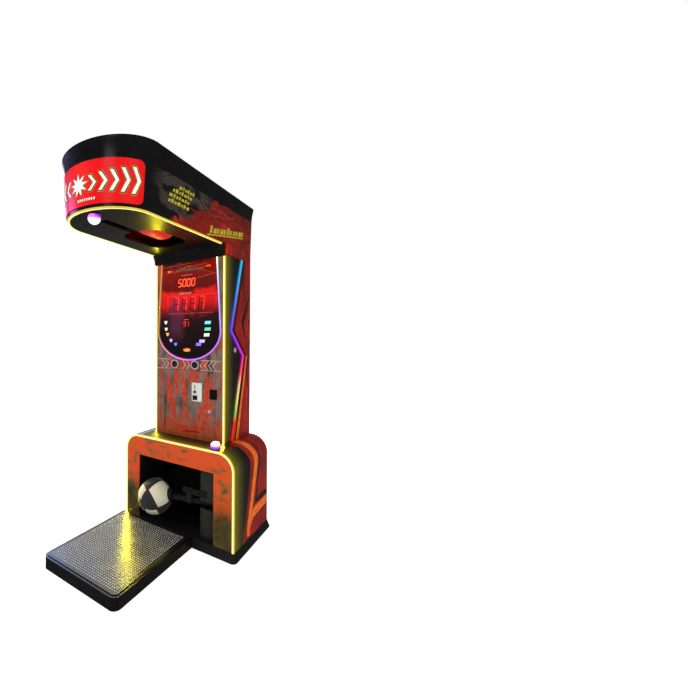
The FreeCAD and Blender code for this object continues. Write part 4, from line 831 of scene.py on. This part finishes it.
# ---------------------------------------------------------------- sides
def make_base_side(sign, side):
    """Black front area with the base tube's olive glow painted on it, red shoulder, orange stripes and a darker
    wedge on the side of the base.
    """
    def printed(name, shapes, look, thick=0.0004, step=0.012):
        sticker(f"base_{name}_{side}", shapes, on_base(sign), KIT[look], step=step, thick=thick)

    def up(z):
        """Height to length along the rounded shoulder."""
        return SPRING + ARCH_RADIUS * math.asin(min(1, (z - SPRING) / ARCH_RADIUS))
    top = SPRING + ARCH_RADIUS * math.pi / 2
    inside = top + 0.019
    edge = curved([(0.212, 0.0505), (0.230, 0.110), (0.258, 0.200), (0.284, 0.307), (0.305, 0.400),
                   (0.308, 0.439), (0.300, 0.480), (0.280, up(0.520)), (0.262, top), (0.250, inside)], 34)
    front = [(BASE_Y + 0.0105, z) for _, z in edge]
    # The black field carries the base tube's olive glow as painted light along its front edge.
    printed("black_field_painted_glow", [edge + front[::-1]], "side_black_painted_glow")
    shoulder = [point for point in edge if point[1] > SPRING]
    red = shoulder + [(BASE_BACK, inside), (BASE_BACK, SPRING), (shoulder[0][0], SPRING)]
    printed("red_shoulder", [red], "side_art")
    outer = curved([(0.292, 0.064), (0.284, 0.104), (0.312, 0.190), (0.346, 0.300), (0.374, 0.400),
                    (0.383, 0.455), (0.372, up(0.500)), (0.350, up(0.535)), (0.334, top), (0.322, inside)], 38)
    widths = [0.010] + [0.036 + 0.012 * min(1, i / 20) for i in range(1, 37)] + [0.046]
    printed("orange_band", [ribbon(outer, widths)], "orange_ink", 0.0009)
    foot = [(0.276, 0.078), (0.286, 0.130), (0.330, 0.184), (0.376, 0.196), (0.544, 0.206), (0.544, 0.158),
            (0.350, 0.142)]
    printed("orange_foot", [foot], "orange_ink", 0.0008, 0.02)
    wedge = [(0.376, 0.212), (0.392, 0.232), (0.544, 0.242), (0.544, 0.212)]
    inner = ribbon([(0.380, 0.216), (0.408, 0.330), (0.430, 0.430), (0.424, up(0.500)), (0.400, top),
                    (0.388, inside)], [0.012, 0.011, 0.010, 0.010, 0.009, 0.008])
    printed("dark_wedge", [wedge, inner], "black_ink", 0.0008)


def make_column_side(sign, side):
    """Orange, black and red lines that follow the stepped front edge of the side panel."""
    edge = [(0.340, 1.598), (0.203, 1.180), (0.362, 1.031), (0.222, 0.548)]
    orange = ribbon([(y + PANEL_Y + 0.030, z) for y, z in edge[2:]], [0.016, 0.060])
    dark = [ribbon([(y + PANEL_Y + 0.016, z) for y, z in edge], [0.016, 0.020, 0.014, 0.018]),
            ribbon([(0.545, 1.400), (0.440, 1.230), (0.480, 1.130)], [0.004, 0.030, 0.006]),
            ribbon([(0.545, 1.060), (0.500, 0.960), (0.520, 0.840)], [0.004, 0.020, 0.004])]
    hot = [ribbon([(0.545, 1.330), (0.505, 1.235), (0.530, 1.120)], [0.003, 0.012, 0.003]),
           ribbon([(0.532, 0.900), (0.500, 0.780), (0.512, 0.600)], [0.003, 0.014, 0.004])]
    for name, shapes, ink in (("orange_line", [orange], "orange_ink"), ("dark_lines", dark, "black_ink"),
                              ("red_lines", hot, "claw_ink")):
        sticker(f"column_{name}_{side}", shapes, on_side(sign * COLUMN_SIDE), KIT[ink])
    spots = [(sign * COLUMN_SIDE, 0.536, z) for z in (0.64, 0.84, 1.04, 1.24, 1.44, 1.62)]
    screws("side_screws_" + side, spots, (sign, 0, 0), 0.0042, KIT["zinc"])


for hand in SIDES:
    make_base_side(*hand)
    make_column_side(*hand)


# ---------------------------------------------------------------- score panel
# Which bars of a seven-bar figure are lit.
FIGURES = {"0": "abcdef", "1": "bc", "5": "acdfg", "7": "abc", "9": "abcdfg"}


def figure(left, low, wide, tall):
    """The seven bars of one figure, as outlines that lean to the right."""
    lean, share = 0.13, 0.17
    t = wide * share
    gap = t * 0.10
    h = t / 2
    mid, top = low + tall / 2, low + tall

    def flat(z):
        return [(left + h + gap, z), (left + t + gap, z + h), (left + wide - t - gap, z + h),
                (left + wide - h - gap, z), (left + wide - t - gap, z - h), (left + t + gap, z - h)]

    def tall_bar(x, z0, z1):
        return [(x, z0 + gap), (x + h, z0 + h + gap), (x + h, z1 - h - gap), (x, z1 - gap),
                (x - h, z1 - h - gap), (x - h, z0 + h + gap)]
    bars = {"a": flat(top - h), "g": flat(mid), "d": flat(low + h),
            "b": tall_bar(left + wide - h, mid, top - h), "c": tall_bar(left + wide - h, low + h, mid),
            "e": tall_bar(left + h, low + h, mid), "f": tall_bar(left + h, mid, top - h)}
    return {key: [(x + (z - low) * lean, z) for x, z in line] for key, line in bars.items()}


def make_figures():
    """Lit and unlit bars of the score, the strength and the credit counters."""
    y = COLUMN_Y - 0.0002
    rows = (("high_score", "5000", -0.074, 1.442, 0.0250, 0.0465, 0.0315, "score_red"),
            ("score", "7777", -0.112, 1.297, 0.040, 0.084, 0.0600, "big_red"),
            ("credit", "91", -0.034, 1.205, 0.0165, 0.031, 0.0215, "big_red"))
    for name, text, left, low, wide, tall, pitch, ink in rows:
        lit, dark = [], []
        for i, digit in enumerate(text):
            for key, line in figure(left + pitch * i, low, wide, tall).items():
                (lit if key in FIGURES[digit] else dark).append(line)
        sticker(name + "_lit_bars", lit, on_front(y), KIT[ink], thick=0.0008)
        if dark:
            sticker(name + "_unlit_bars", dark, on_front(y), KIT["unlit"], thick=0.0005)


def make_markers():
    """Backlit markers: small shields on the left, plates on the right, a crown of rays at the bottom."""
    shield = [(-1, 1), (-0.35, 0.7), (0, 1), (0.35, 0.7), (1, 1), (0.75, -0.3), (0, -1), (-0.75, -0.3)]
    crown = [(-1, 0.004), (-0.7, -0.004), (-0.85, -0.008), (0, -0.011), (0.85, -0.008), (0.7, -0.004),
             (1, 0.004), (0.45, 0.003), (0.3, 0.010), (0, 0.005), (-0.3, 0.010), (-0.45, 0.003)]
    pieces = []
    for i, (x, z, half, hue) in enumerate(MARKERS):
        if i < 5:
            shape = [(x + half * u, z + half * v) for u, v in shield]
        elif i < 10:
            shape = slanted(x - half, x + half, z - 0.0085, z + 0.0085, 0.004)
        else:
            shape = [(x + half * u, z + v) for u, v in crown]
        pieces.append(sticker(f"marker_{i + 1:02d}", [shape], on_front(COLUMN_Y - 0.0002), KIT["lens"][hue],
                              thick=0.0016))
    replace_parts(pieces[0], "indicator_lenses")


def make_panel_lines():
    """Printed lines on the score panel: the header, the frames of the figures and scratch-like strokes."""
    header = []
    for i in range(13):
        x, tall = -0.096 + 0.0158 * i, 0.022 if i in (2, 6) else 0.015
        header.append(slanted(x, x + 0.0105, 1.533, 1.533 + tall, 0.004))
    wings = [ribbon([(-0.122, 1.527), (0.0, 1.560), (0.128, 1.562)], [0.001, 0.003, 0.001]),
             ribbon([(-0.150, 1.541), (-0.112, 1.541)], [0.014, 0.004]),
             ribbon([(0.118, 1.548), (0.152, 1.548)], [0.004, 0.014])]
    thin = 0.0014
    lines = [ribbon(line, widths) for line, widths in (
        (((-0.149, 1.283), (0.170, 1.283)), (thin, thin)), (((-0.149, 1.389), (-0.062, 1.389)), (thin, thin)),
        (((0.030, 1.389), (0.176, 1.389)), (thin, thin)), (((-0.149, 1.283), (-0.149, 1.389)), (thin, thin)),
        (((0.172, 1.389), (0.188, 1.376), (0.188, 1.300)), (thin, 0.0012, 0.001)),
        (((0.060, 1.486), (0.120, 1.494), (0.200, 1.506)), (0.001, 0.0016, 0.001)),
        (((-0.190, 1.566), (-0.120, 1.573), (0.060, 1.579)), (0.001, 0.002, 0.001)),
        (((-0.050, 1.510), (0.030, 1.510)), (0.004, 0.004)),
        (((-0.028, 1.246), (0.004, 1.246)), (0.004, 0.004)))]
    lines += [slanted(x, x + 0.0125, 1.396, 1.408, 0.002) for x in (-0.060, -0.043, -0.026, -0.009, 0.008)]
    for name, shapes, ink in (("header_bars", header, "smoke_ink"), ("header_wings", wings, "orange_ink"),
                              ("thin_lines", lines, "pale_red_ink")):
        sticker("panel_" + name, shapes, on_front(COLUMN_Y - 0.0001), KIT[ink])


make_figures()
make_markers()
make_panel_lines()


# ---------------------------------------------------------------- lower column
def make_claws():
    """Red claw strokes, partly on the fixed front and partly on the service door."""
    strokes = []
    for path, wide in ((((-0.150, 0.925), (-0.136, 0.820), (-0.108, 0.720), (-0.084, 0.640)), 0.044),
                       (((-0.094, 0.942), (-0.084, 0.860), (-0.070, 0.790)), 0.026),
                       (((-0.034, 0.942), (-0.026, 0.830), (-0.016, 0.740)), 0.036),
                       (((0.012, 0.942), (0.016, 0.900), (0.022, 0.860)), 0.020),
                       (((0.070, 0.942), (0.066, 0.914), (0.058, 0.886)), 0.030),
                       (((0.126, 0.942), (0.130, 0.860), (0.126, 0.760), (0.106, 0.690)), 0.030),
                       (((0.170, 0.800), (0.140, 0.700), (0.096, 0.610)), 0.034),
                       (((0.104, 0.760), (0.086, 0.690), (0.044, 0.610)), 0.026),
                       (((-0.020, 0.740), (-0.010, 0.700), (0.014, 0.640)), 0.022),
                       (((-0.156, 0.650), (-0.070, 0.612), (0.050, 0.600), (0.150, 0.626)), 0.034),
                       (((-0.130, 0.600), (-0.020, 0.580), (0.120, 0.590)), 0.018)):
        swell = [math.sin(math.pi * (0.10 + 0.86 * (i / 17) ** 1.2)) for i in range(18)]
        ragged = [1 + 0.22 * math.sin(i * 2.3) for i in range(18)]
        strokes.append(ribbon(curved(path, 18), [wide * s * r for s, r in zip(swell, ragged)]))
    sticker("door_claws", strokes, on_front(DOOR_Y), KIT["claw_ink"], "service_door_body",
            thick=0.0002)
    fixed = []
    for path, wide in ((((-0.150, 1.018), (-0.138, 0.985), (-0.118, 0.950)), 0.030),
                       (((-0.020, 1.000), (-0.028, 0.975), (-0.020, 0.950)), 0.026),
                       (((0.120, 1.015), (0.112, 0.980), (0.095, 0.950)), 0.034),
                       (((0.020, 1.003), (0.028, 0.975), (0.010, 0.952)), 0.016)):
        swell = [math.sin(math.pi * (0.1 + 0.8 * i / 11)) for i in range(12)]
        fixed.append(ribbon(curved(path, 12), [wide * (0.45 + 0.55 * s) for s in swell]))
    sticker("column_claws", fixed, on_front(COLUMN_Y - 0.0001), KIT["claw_ink"], thick=0.0003)


def make_outlines():
    """Thin pale outlines across the column: nested chevrons, broken where the buttons sit."""
    high, middle, low = 1.006, 0.978, 0.9495
    lines = []
    for x, turn in ((-0.196, 1), (-0.166, 1), (-0.040, 1), (-0.012, 1), (0.112, -1), (0.140, -1), (0.168, -1),
                    (0.196, -1)):
        lines.append(ribbon([(x, high), (x + 0.026 * turn, middle), (x, low)], [0.0036, 0.0040, 0.0036]))
    for z in (1.0075, 0.9500):
        for start, end in ((-0.226, -0.128), (0.086, 0.222)):
            lines.append(ribbon([(start, z), (end, z)], [0.0030, 0.0030]))
    sticker("column_pale_outlines", lines, on_front(COLUMN_Y - 0.0004), KIT["grey_ink"],
            thick=0.0004)


make_claws()
make_outlines()
guard_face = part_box("lock_guard")[0].y + 0.0042
for name, y, spots, radius, look, slot in (
        ("guard_screws", guard_face, ((0.159, 0.798), (0.159, 0.837), (0.190, 0.798), (0.190, 0.837)), 0.0040,
         "chrome", "chrome"),
        ("door_rivets", DOOR_Y, ((-0.035, 0.850), (-0.035, 0.792), (0.005, 0.790), (0.160, 0.930)), 0.0030,
         "chrome", "chrome"),
        ("coin_plate_screws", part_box("coin_plate")[0].y,
         ((0.038, 0.869), (0.092, 0.869), (0.038, 0.773), (0.092, 0.775)), 0.0026, "zinc", "coin_pale")):
    screws(name, [(x, y, z) for x, z in spots], (0, -1, 0), radius, KIT[look], "service_door_body")


def make_button_caps():
    """Domed push buttons: a dished cap with a rounded rim inside each chromed bezel."""
    outward, across = (0, -1, 0), (1, 0, 0)
    ring = [(0.0, 0.0268), (0.0028, 0.0266), (0.0044, 0.0254), (0.0050, 0.0236), (0.0046, 0.0212),
            (0.0036, 0.0200), (0.0, 0.0196), (0.0, 0.0268)]
    for side in ("left", "right"):
        low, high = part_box("button_" + side)
        x, z, r = (low.x + high.x) / 2, (low.z + high.z) / 2, (high.x - low.x) / 2
        rings = [(low.y - high.y, r - 0.0006), (-0.0024, r - 0.0003), (-0.0008, r - 0.0009), (0.0, r - 0.0026),
                 (-0.0004, r * 0.75), (-0.0015, r * 0.45), (-0.0019, 0.0)]
        bm = lathe(rings, 48, outward, (x, low.y, z), across)
        cap = keep(f"button_{side}_cap", bm, KIT["abs"], f"button_{side}_body")
        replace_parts(cap, "button_" + side)
        bezel = lathe(ring, 56, outward, (x, COLUMN_Y, z), across)
        bmesh.ops.delete(bezel, geom=[f for f in bezel.faces if len(f.verts) > 4], context="FACES_ONLY")
        bmesh.ops.remove_doubles(bezel, verts=bezel.verts[:], dist=1e-6)
        piece = keep(f"button_{side}_bezel", bezel, KIT["chrome"])
        if side == "left":
            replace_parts(piece, "button_bezels")


make_button_caps()


def make_side_lock():
    """Small lock on the right side of the column: a round plate and the barrel in it."""
    profile = [(0.0, 0.015), (0.0016, 0.015), (0.0024, 0.0138), (0.0024, 0.008), (0.0050, 0.0078),
               (0.0056, 0.0070), (0.0056, 0.0026), (0.0036, 0.0024), (0.0036, 0.0)]
    spot = (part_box("column_carcass")[1].x, 0.369, 1.068)
    keep("side_lock", lathe(profile, 32, (1, 0, 0), spot, (0, 0, 1)), KIT["chrome"])


make_side_lock()


# ---------------------------------------------------------------- platform
def make_tread():
    """Raised lozenges of the checker plate, set alternately across and along. They stand 13 mm apart, a little
    wider than on common plate, so that they show."""
    low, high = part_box("platform_plate")
    pitch, margin, root, crest = 0.0132, 0.015, high.z - 0.0002, high.z + 0.0011
    verts, faces = [], []
    for i in range(int((high.x - low.x - 2 * margin) / pitch)):
        for j in range(int((high.y - low.y - 2 * margin) / pitch)):
            x, y = low.x + margin + pitch * (i + 0.5), low.y + margin + pitch * (j + 0.5)
            long, short = (0.0058, 0.0025) if (i + j) % 2 else (0.0025, 0.0058)
            k = len(verts)
            for share, z in ((1.0, root), (0.55, crest)):
                u, v = long * share, short * share
                verts += [(x + u, y, z), (x, y + v, z), (x - u, y, z), (x, y - v, z)]
            faces += [(k + a, k + (a + 1) % 4, k + 4 + (a + 1) % 4, k + 4 + a) for a in range(4)]
            faces += [(k + 4, k + 5, k + 6, k + 7), (k + 3, k + 2, k + 1, k)]
    data = bpy.data.meshes.new("tread_lozenges")
    data.from_pydata(verts, [], faces)
    # The lozenges take the near-white finish: polish from wear with a painted highlight.
    keep("tread_lozenges", data, KIT["tread_worn"], smooth=False)
    r = 0.030
    spots = [(x, y, high.z) for x in (low.x + r, high.x - r)
             for y in (low.y + r, (low.y + high.y) / 2, high.y - r)]
    screws("plate_screws", spots, (0, 0, 1), 0.0050, KIT["zinc"])


make_tread()


# ---------------------------------------------------------------- soft pieces
def inflate(piece, limit, voxel=0.005, frames=20):
    """Swells a closed shape as a stuffed skin, with no point moving further than limit."""
    bpy.context.view_layer.objects.active = piece
    finishes = list(piece.data.materials)
    modifier = piece.modifiers.new("skin", "REMESH")
    modifier.mode = "VOXEL"
    modifier.voxel_size = voxel
    fresh = bpy.data.meshes.new_from_object(piece.evaluated_get(bpy.context.evaluated_depsgraph_get()))
    piece.modifiers.clear()
    piece.data = fresh
    before = np.array([v.co for v in fresh.vertices])
    cloth = piece.modifiers.new("stuffing", "CLOTH")
    cloth.settings.use_pressure = True
    cloth.settings.uniform_pressure_force = 4.0
    cloth.settings.effector_weights.gravity = 0.0
    cloth.point_cache.frame_start, cloth.point_cache.frame_end = 1, frames
    for number in range(1, frames + 1):
        bpy.context.scene.frame_set(number)
    swollen = piece.evaluated_get(bpy.context.evaluated_depsgraph_get())
    move = np.array([v.co for v in swollen.data.vertices]) - before
    piece.modifiers.clear()
    bpy.context.scene.frame_set(1)
    size = np.linalg.norm(move, axis=1, keepdims=True)
    move *= np.minimum(1.0, limit / np.maximum(size, 1e-9))
    fresh.vertices.foreach_set("co", (before + move).astype(np.float32).ravel())
    fresh.materials.clear()
    for finish in finishes:
        fresh.materials.append(finish)
    for polygon in fresh.polygons:
        polygon.use_smooth = True
    fresh.update()


# The bag along its axis, from its pivot: where the neck ends, where the body is full, and its tip.
BAG_NECK, BAG_SHOULDER, BAG_END, BAG_FULL = 0.206, 0.298, 0.469, 0.093


def bag_radius(along):
    """Radius of the bag's skin at a distance from its pivot."""
    body, neck = BAG_END - BAG_FULL, 0.030
    if along <= BAG_SHOULDER:
        t = max(0.0, (along - BAG_NECK) / (BAG_SHOULDER - BAG_NECK))
        return neck + (BAG_FULL - neck) * math.sin(math.pi / 2 * t ** 0.62)
    if along <= body:
        return BAG_FULL
    return math.sqrt(max(0.0, BAG_FULL ** 2 - (along - body) ** 2))


def tube(line, radius, sides):
    """Round piping that follows a line of points."""
    bm = bmesh.new()
    loops, axis = [], None
    for i, point in enumerate(line):
        tangent = (line[min(i + 1, len(line) - 1)] - line[max(i - 1, 0)]).normalized()
        axis = (axis - tangent * axis.dot(tangent)).normalized() if i else tangent.orthogonal()
        other = tangent.cross(axis)
        loops.append([bm.verts.new(point + (axis * math.cos(a) + other * math.sin(a)) * radius)
                      for a in (2 * math.pi * j / sides for j in range(sides))])
    bridge(bm, loops)
    bm.faces.new(loops[0])
    bm.faces.new(loops[-1])
    bmesh.ops.recalc_face_normals(bm, faces=bm.faces[:])
    return bm


def make_bag():
    """Stitched punch bag: four panels with piped seams and a collar where it meets the arm."""
    along, across, shrink = (0, 1, 0), (1, 0, 0), 0.965
    stops = [BAG_NECK + (BAG_END - BAG_NECK) * (1 - math.cos(math.pi * i / 44)) / 2 for i in range(45)]
    rings = [(s, bag_radius(s) * shrink) for s in stops]
    bag = keep("punch_bag_skin", lathe(rings, 64, along, BAG_PIVOT, across), KIT["leather"], None)
    inflate(bag, 0.0035)
    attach(bag, "bag_body")
    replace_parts(bag, "punch_bag")
    seams = []
    for a in (math.radians(45 + 90 * k) for k in range(4)):
        radii = [(s, bag_radius(s) + 0.0006) for s in stops[2:-2]]
        seams.append([BAG_PIVOT + Vector((math.cos(a) * r, s, math.sin(a) * r)) for s, r in radii])
    piping = merged([tube(line, 0.0022, 8) for line in seams])
    collar = lathe([(0.1995, 0.0245), (0.2010, 0.0315), (0.2060, 0.0330), (0.2200, 0.0335), (0.2240, 0.0320),
                    (0.2250, 0.0250)], 48, along, BAG_PIVOT, across)
    keep("punch_bag_piping", piping, KIT["leather"], "bag_body")
    keep("punch_bag_collar", collar, KIT["thread"], "bag_body")


# How much further the large cream panel and the other cream panels reach than the charcoal ones.
MAIN_LEAD = 0.17
OTHER_LEAD = -0.09


def make_ball():
    """Stitched kick ball: six cream panels and eight charcoal ones, each slightly crowned, with sunk seams."""
    ahead = Vector((-0.5890, 0.7255, -0.3560))
    across = Vector((0.803, 0.596, 0.0))
    upward = across.cross(ahead).normalized()

    def seen(right, up, near):
        return (across * right + upward * up - ahead * near).normalized()
    first = seen(0.46, 0.24, 0.84)
    second = seen(-0.85, 0.30, 0.46)
    second = (second - first * second.dot(first)).normalized()
    third = first.cross(second)
    axes = [v * sign for v in (first, second, third) for sign in (1, -1)]
    ends = (-1, 1)
    corners = [(first * a + second * b + third * c).normalized() for a in ends for b in ends for c in ends]
    centres = axes + corners
    lead = [MAIN_LEAD] + [OTHER_LEAD] * 5 + [0.0] * 8
    bm = bmesh.new()
    bmesh.ops.create_icosphere(bm, subdivisions=6, radius=1.0)
    for i in range(14):
        for j in range(i + 1, 14):
            if centres[i].dot(centres[j]) > 0.3:
                across_seam = centres[i] - centres[j]
                offset = across_seam * (lead[j] - lead[i]) / across_seam.length_squared
                bmesh.ops.bisect_plane(bm, geom=bm.verts[:] + bm.edges[:] + bm.faces[:], dist=1e-5,
                                       plane_co=offset, plane_no=across_seam)
    table = np.array([list(c) for c in centres])
    for face in bm.faces:
        middle = np.array(face.calc_center_median().normalized())
        face.material_index = 0 if int(np.argmax(table @ middle + np.array(lead))) < 6 else 1
    points = np.array([list(v.co) for v in bm.verts])
    points /= np.linalg.norm(points, axis=1, keepdims=True)
    near = np.sort(points @ table.T + np.array(lead), axis=1)
    gap = near[:, -1] - near[:, -2]
    seam = np.exp(-(gap / 0.022) ** 2)
    crown = np.clip((near[:, -1] - 0.84) / 0.2, 0, 1)
    radius = BALL_RADIUS * (0.985 - 0.022 * seam + 0.012 * crown)
    for vertex, point, r in zip(bm.verts, points, radius):
        vertex.co = BALL_MIDDLE + Vector(point) * r
    ball = keep("kick_ball", bm, [KIT["ball_white"], KIT["ball_dark"]], "kicker_body")
    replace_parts(ball, "kicker_ball")


make_bag()
make_ball()


# ---------------------------------------------------------------- studio
# Strength of the white room: as light, as the gloss sees it past the soft boxes, and as the backdrop.
ROOM_LIGHT = 0.42
ROOM_IN_GLOSS = 0.07
ROOM_SEEN = 1.0
# Colour and radiance of the warm tubes as lights, and the colour of what lights the bag from below.
TUBE_HUE = (1.0, 0.86, 0.02)
TUBE_RADIANCE = 32.0
BAG_HUE = (1.0, 0.85, 0.8)


def make_studio():
    """Pale floor, the white room and soft light from three sides."""
    floor = bpy.data.meshes.new("floor")
    floor.from_pydata([(-60, -60, 0), (60, -60, 0), (60, 60, 0), (-60, 60, 0)], [], [(0, 1, 2, 3)])
    made, tree, where, _ = begin("pale_studio_floor")
    tone = add(tree, "ValToRGB", {0: grain(tree, where, 400)}, stops=((0.3, "#F4F4F4"), (0.7, "#F8F8F8")))
    floor.materials.append(close(made, Base_Color=tone, Roughness=0.75, Emission_Color="#FFFFFF",
                                 Emission_Strength=0.72))
    ground = put("floor", floor)
    ground.location.z = -0.0005
    ground.visible_glossy = False
    world = bpy.data.worlds.new("studio")
    bpy.context.scene.world = world
    world.use_nodes = True
    tree = world.node_tree
    tree.nodes.clear()
    path = add(tree, "LightPath").node.outputs
    room, in_gloss, seen = (add(tree, "Background", {"Color": "#FFFFFF", "Strength": strength})
                            for strength in (ROOM_LIGHT, ROOM_IN_GLOSS, ROOM_SEEN))
    room = add(tree, "MixShader", {0: path["Is Glossy Ray"], 1: room, 2: in_gloss})
    room = add(tree, "MixShader", {0: path["Is Camera Ray"], 1: room, 2: seen})
    add(tree, "OutputWorld", {"Surface": room})
    white = (1, 1, 1)
    for name, spot, size, power, hue, shows in (
            ("key", (-2.6, -3.4, 3.6), 2.4, 100, white, False),
            ("fill", (3.6, -2.2, 2.6), 2.0, 50, white, False),
            ("rear", (0.5, 3.6, 3.2), 2.4, 60, white, False),
            ("sky", (-3.4, 3.0, 2.9), 3.4, 52, (0.92, 0.94, 1.0), True),
            ("blue", (-3.9, 1.2, 2.6), 1.6, 26, (0.2, 0.4, 1.0), True),
            ("left", (-3.6, -1.6, 2.2), 1.5, 34, (0.55, 0.35, 1.0), True),
            ("front", (1.2, -4.4, 3.4), 1.4, 6, white, True)):
        light = area_light(name, spot, (size, size), power, hue)
        light.visible_glossy = shows
        light.rotation_euler = (Vector((0, 0, 1.0)) - Vector(spot)).to_track_quat("-Z", "Y").to_euler()


def area_light(name, spot, size, power, hue):
    """An oblong light that looks down."""
    light = bpy.data.lights.new(name, "AREA")
    light.shape = "RECTANGLE"
    light.size, light.size_y = size
    light.energy = power
    light.color = hue
    made = put(name, light)
    made.location = spot
    return made


def make_strip_lights():
    """The light that the warm tubes throw: thin lights just in front of each straight run."""
    low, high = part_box("led_columns")
    before, below, inset = 0.002, HEAD_LOW - 0.002, 0.006
    x, base_x, head_x = high.x - inset, BASE_HALF - inset, 0.236
    column, base, middle, tall = COLUMN_Y - before, BASE_Y - before, (low.z + high.z) / 2, high.z - low.z
    front, down, up = math.radians(-90), 0, math.radians(180)
    for name, spot, size, turn, share in (
            ("column_left", (-x, column, middle), (0.012, tall), front, 1.5),
            ("column_right", (x, column, middle), (0.012, tall), front, 1.5),
            ("base_left", (-base_x, base, BASE_TOP / 2 + 0.02), (0.014, BASE_TOP - 0.05), front, 3.4),
            ("base_right", (base_x, base, SPRING / 2 + 0.025), (0.012, SPRING - 0.05), front, 2.0),
            ("base_top", (0, base, BASE_TOP - inset), (0.56, 0.012), front, 1.0),
            ("head_left", (-head_x, -0.076, below), (0.012, 0.56), down, 1.0),
            ("head_right", (head_x, -0.076, below), (0.012, 0.56), down, 1.0),
            ("head_nose", (0, -0.545, below), (0.24, 0.012), down, 1.0),
            ("bag", (0.05, -0.05, HEAD_LOW - 0.10), (0.08, 0.08), up, 0.05)):
        power = TUBE_RADIANCE * share * math.pi * size[0] * size[1]
        light = area_light(name + "_glow", spot, size, power, BAG_HUE if name == "bag" else TUBE_HUE)
        light.rotation_euler.x = turn
        light.visible_camera = False
        light.visible_glossy = spot[2] < HEAD_LOW - 0.2
        light.visible_diffuse = not name.startswith("column")


def make_camera():
    """Camera at the viewing angle: turned 36.6 degrees from the front, at chest height."""
    turn, down, roll = math.radians(36.5969), math.radians(0.6007), math.radians(0.2091)
    ahead = Vector((-math.sin(turn) * math.cos(down), math.cos(turn) * math.cos(down), -math.sin(down)))
    level_right = Vector((math.cos(turn), math.sin(turn), 0))
    level_up = level_right.cross(ahead)
    right = level_right * math.cos(roll) + level_up * math.sin(roll)
    up = level_up * math.cos(roll) - level_right * math.sin(roll)
    data = bpy.data.cameras.new("camera")
    data.lens = 18.106
    data.sensor_width = 36.0
    data.sensor_fit = "AUTO"
    data.shift_x = 0.2472
    data.shift_y = -0.0109
    camera = put("camera", data)
    basis = Matrix((right, up, -ahead)).transposed().to_4x4()
    camera.matrix_world = Matrix.Translation((1.1623, -1.4906, 1.1324)) @ basis
    bpy.context.scene.camera = camera
    bpy.context.scene.view_settings.view_transform = "Standard"


make_studio()
make_strip_lights()
make_camera()
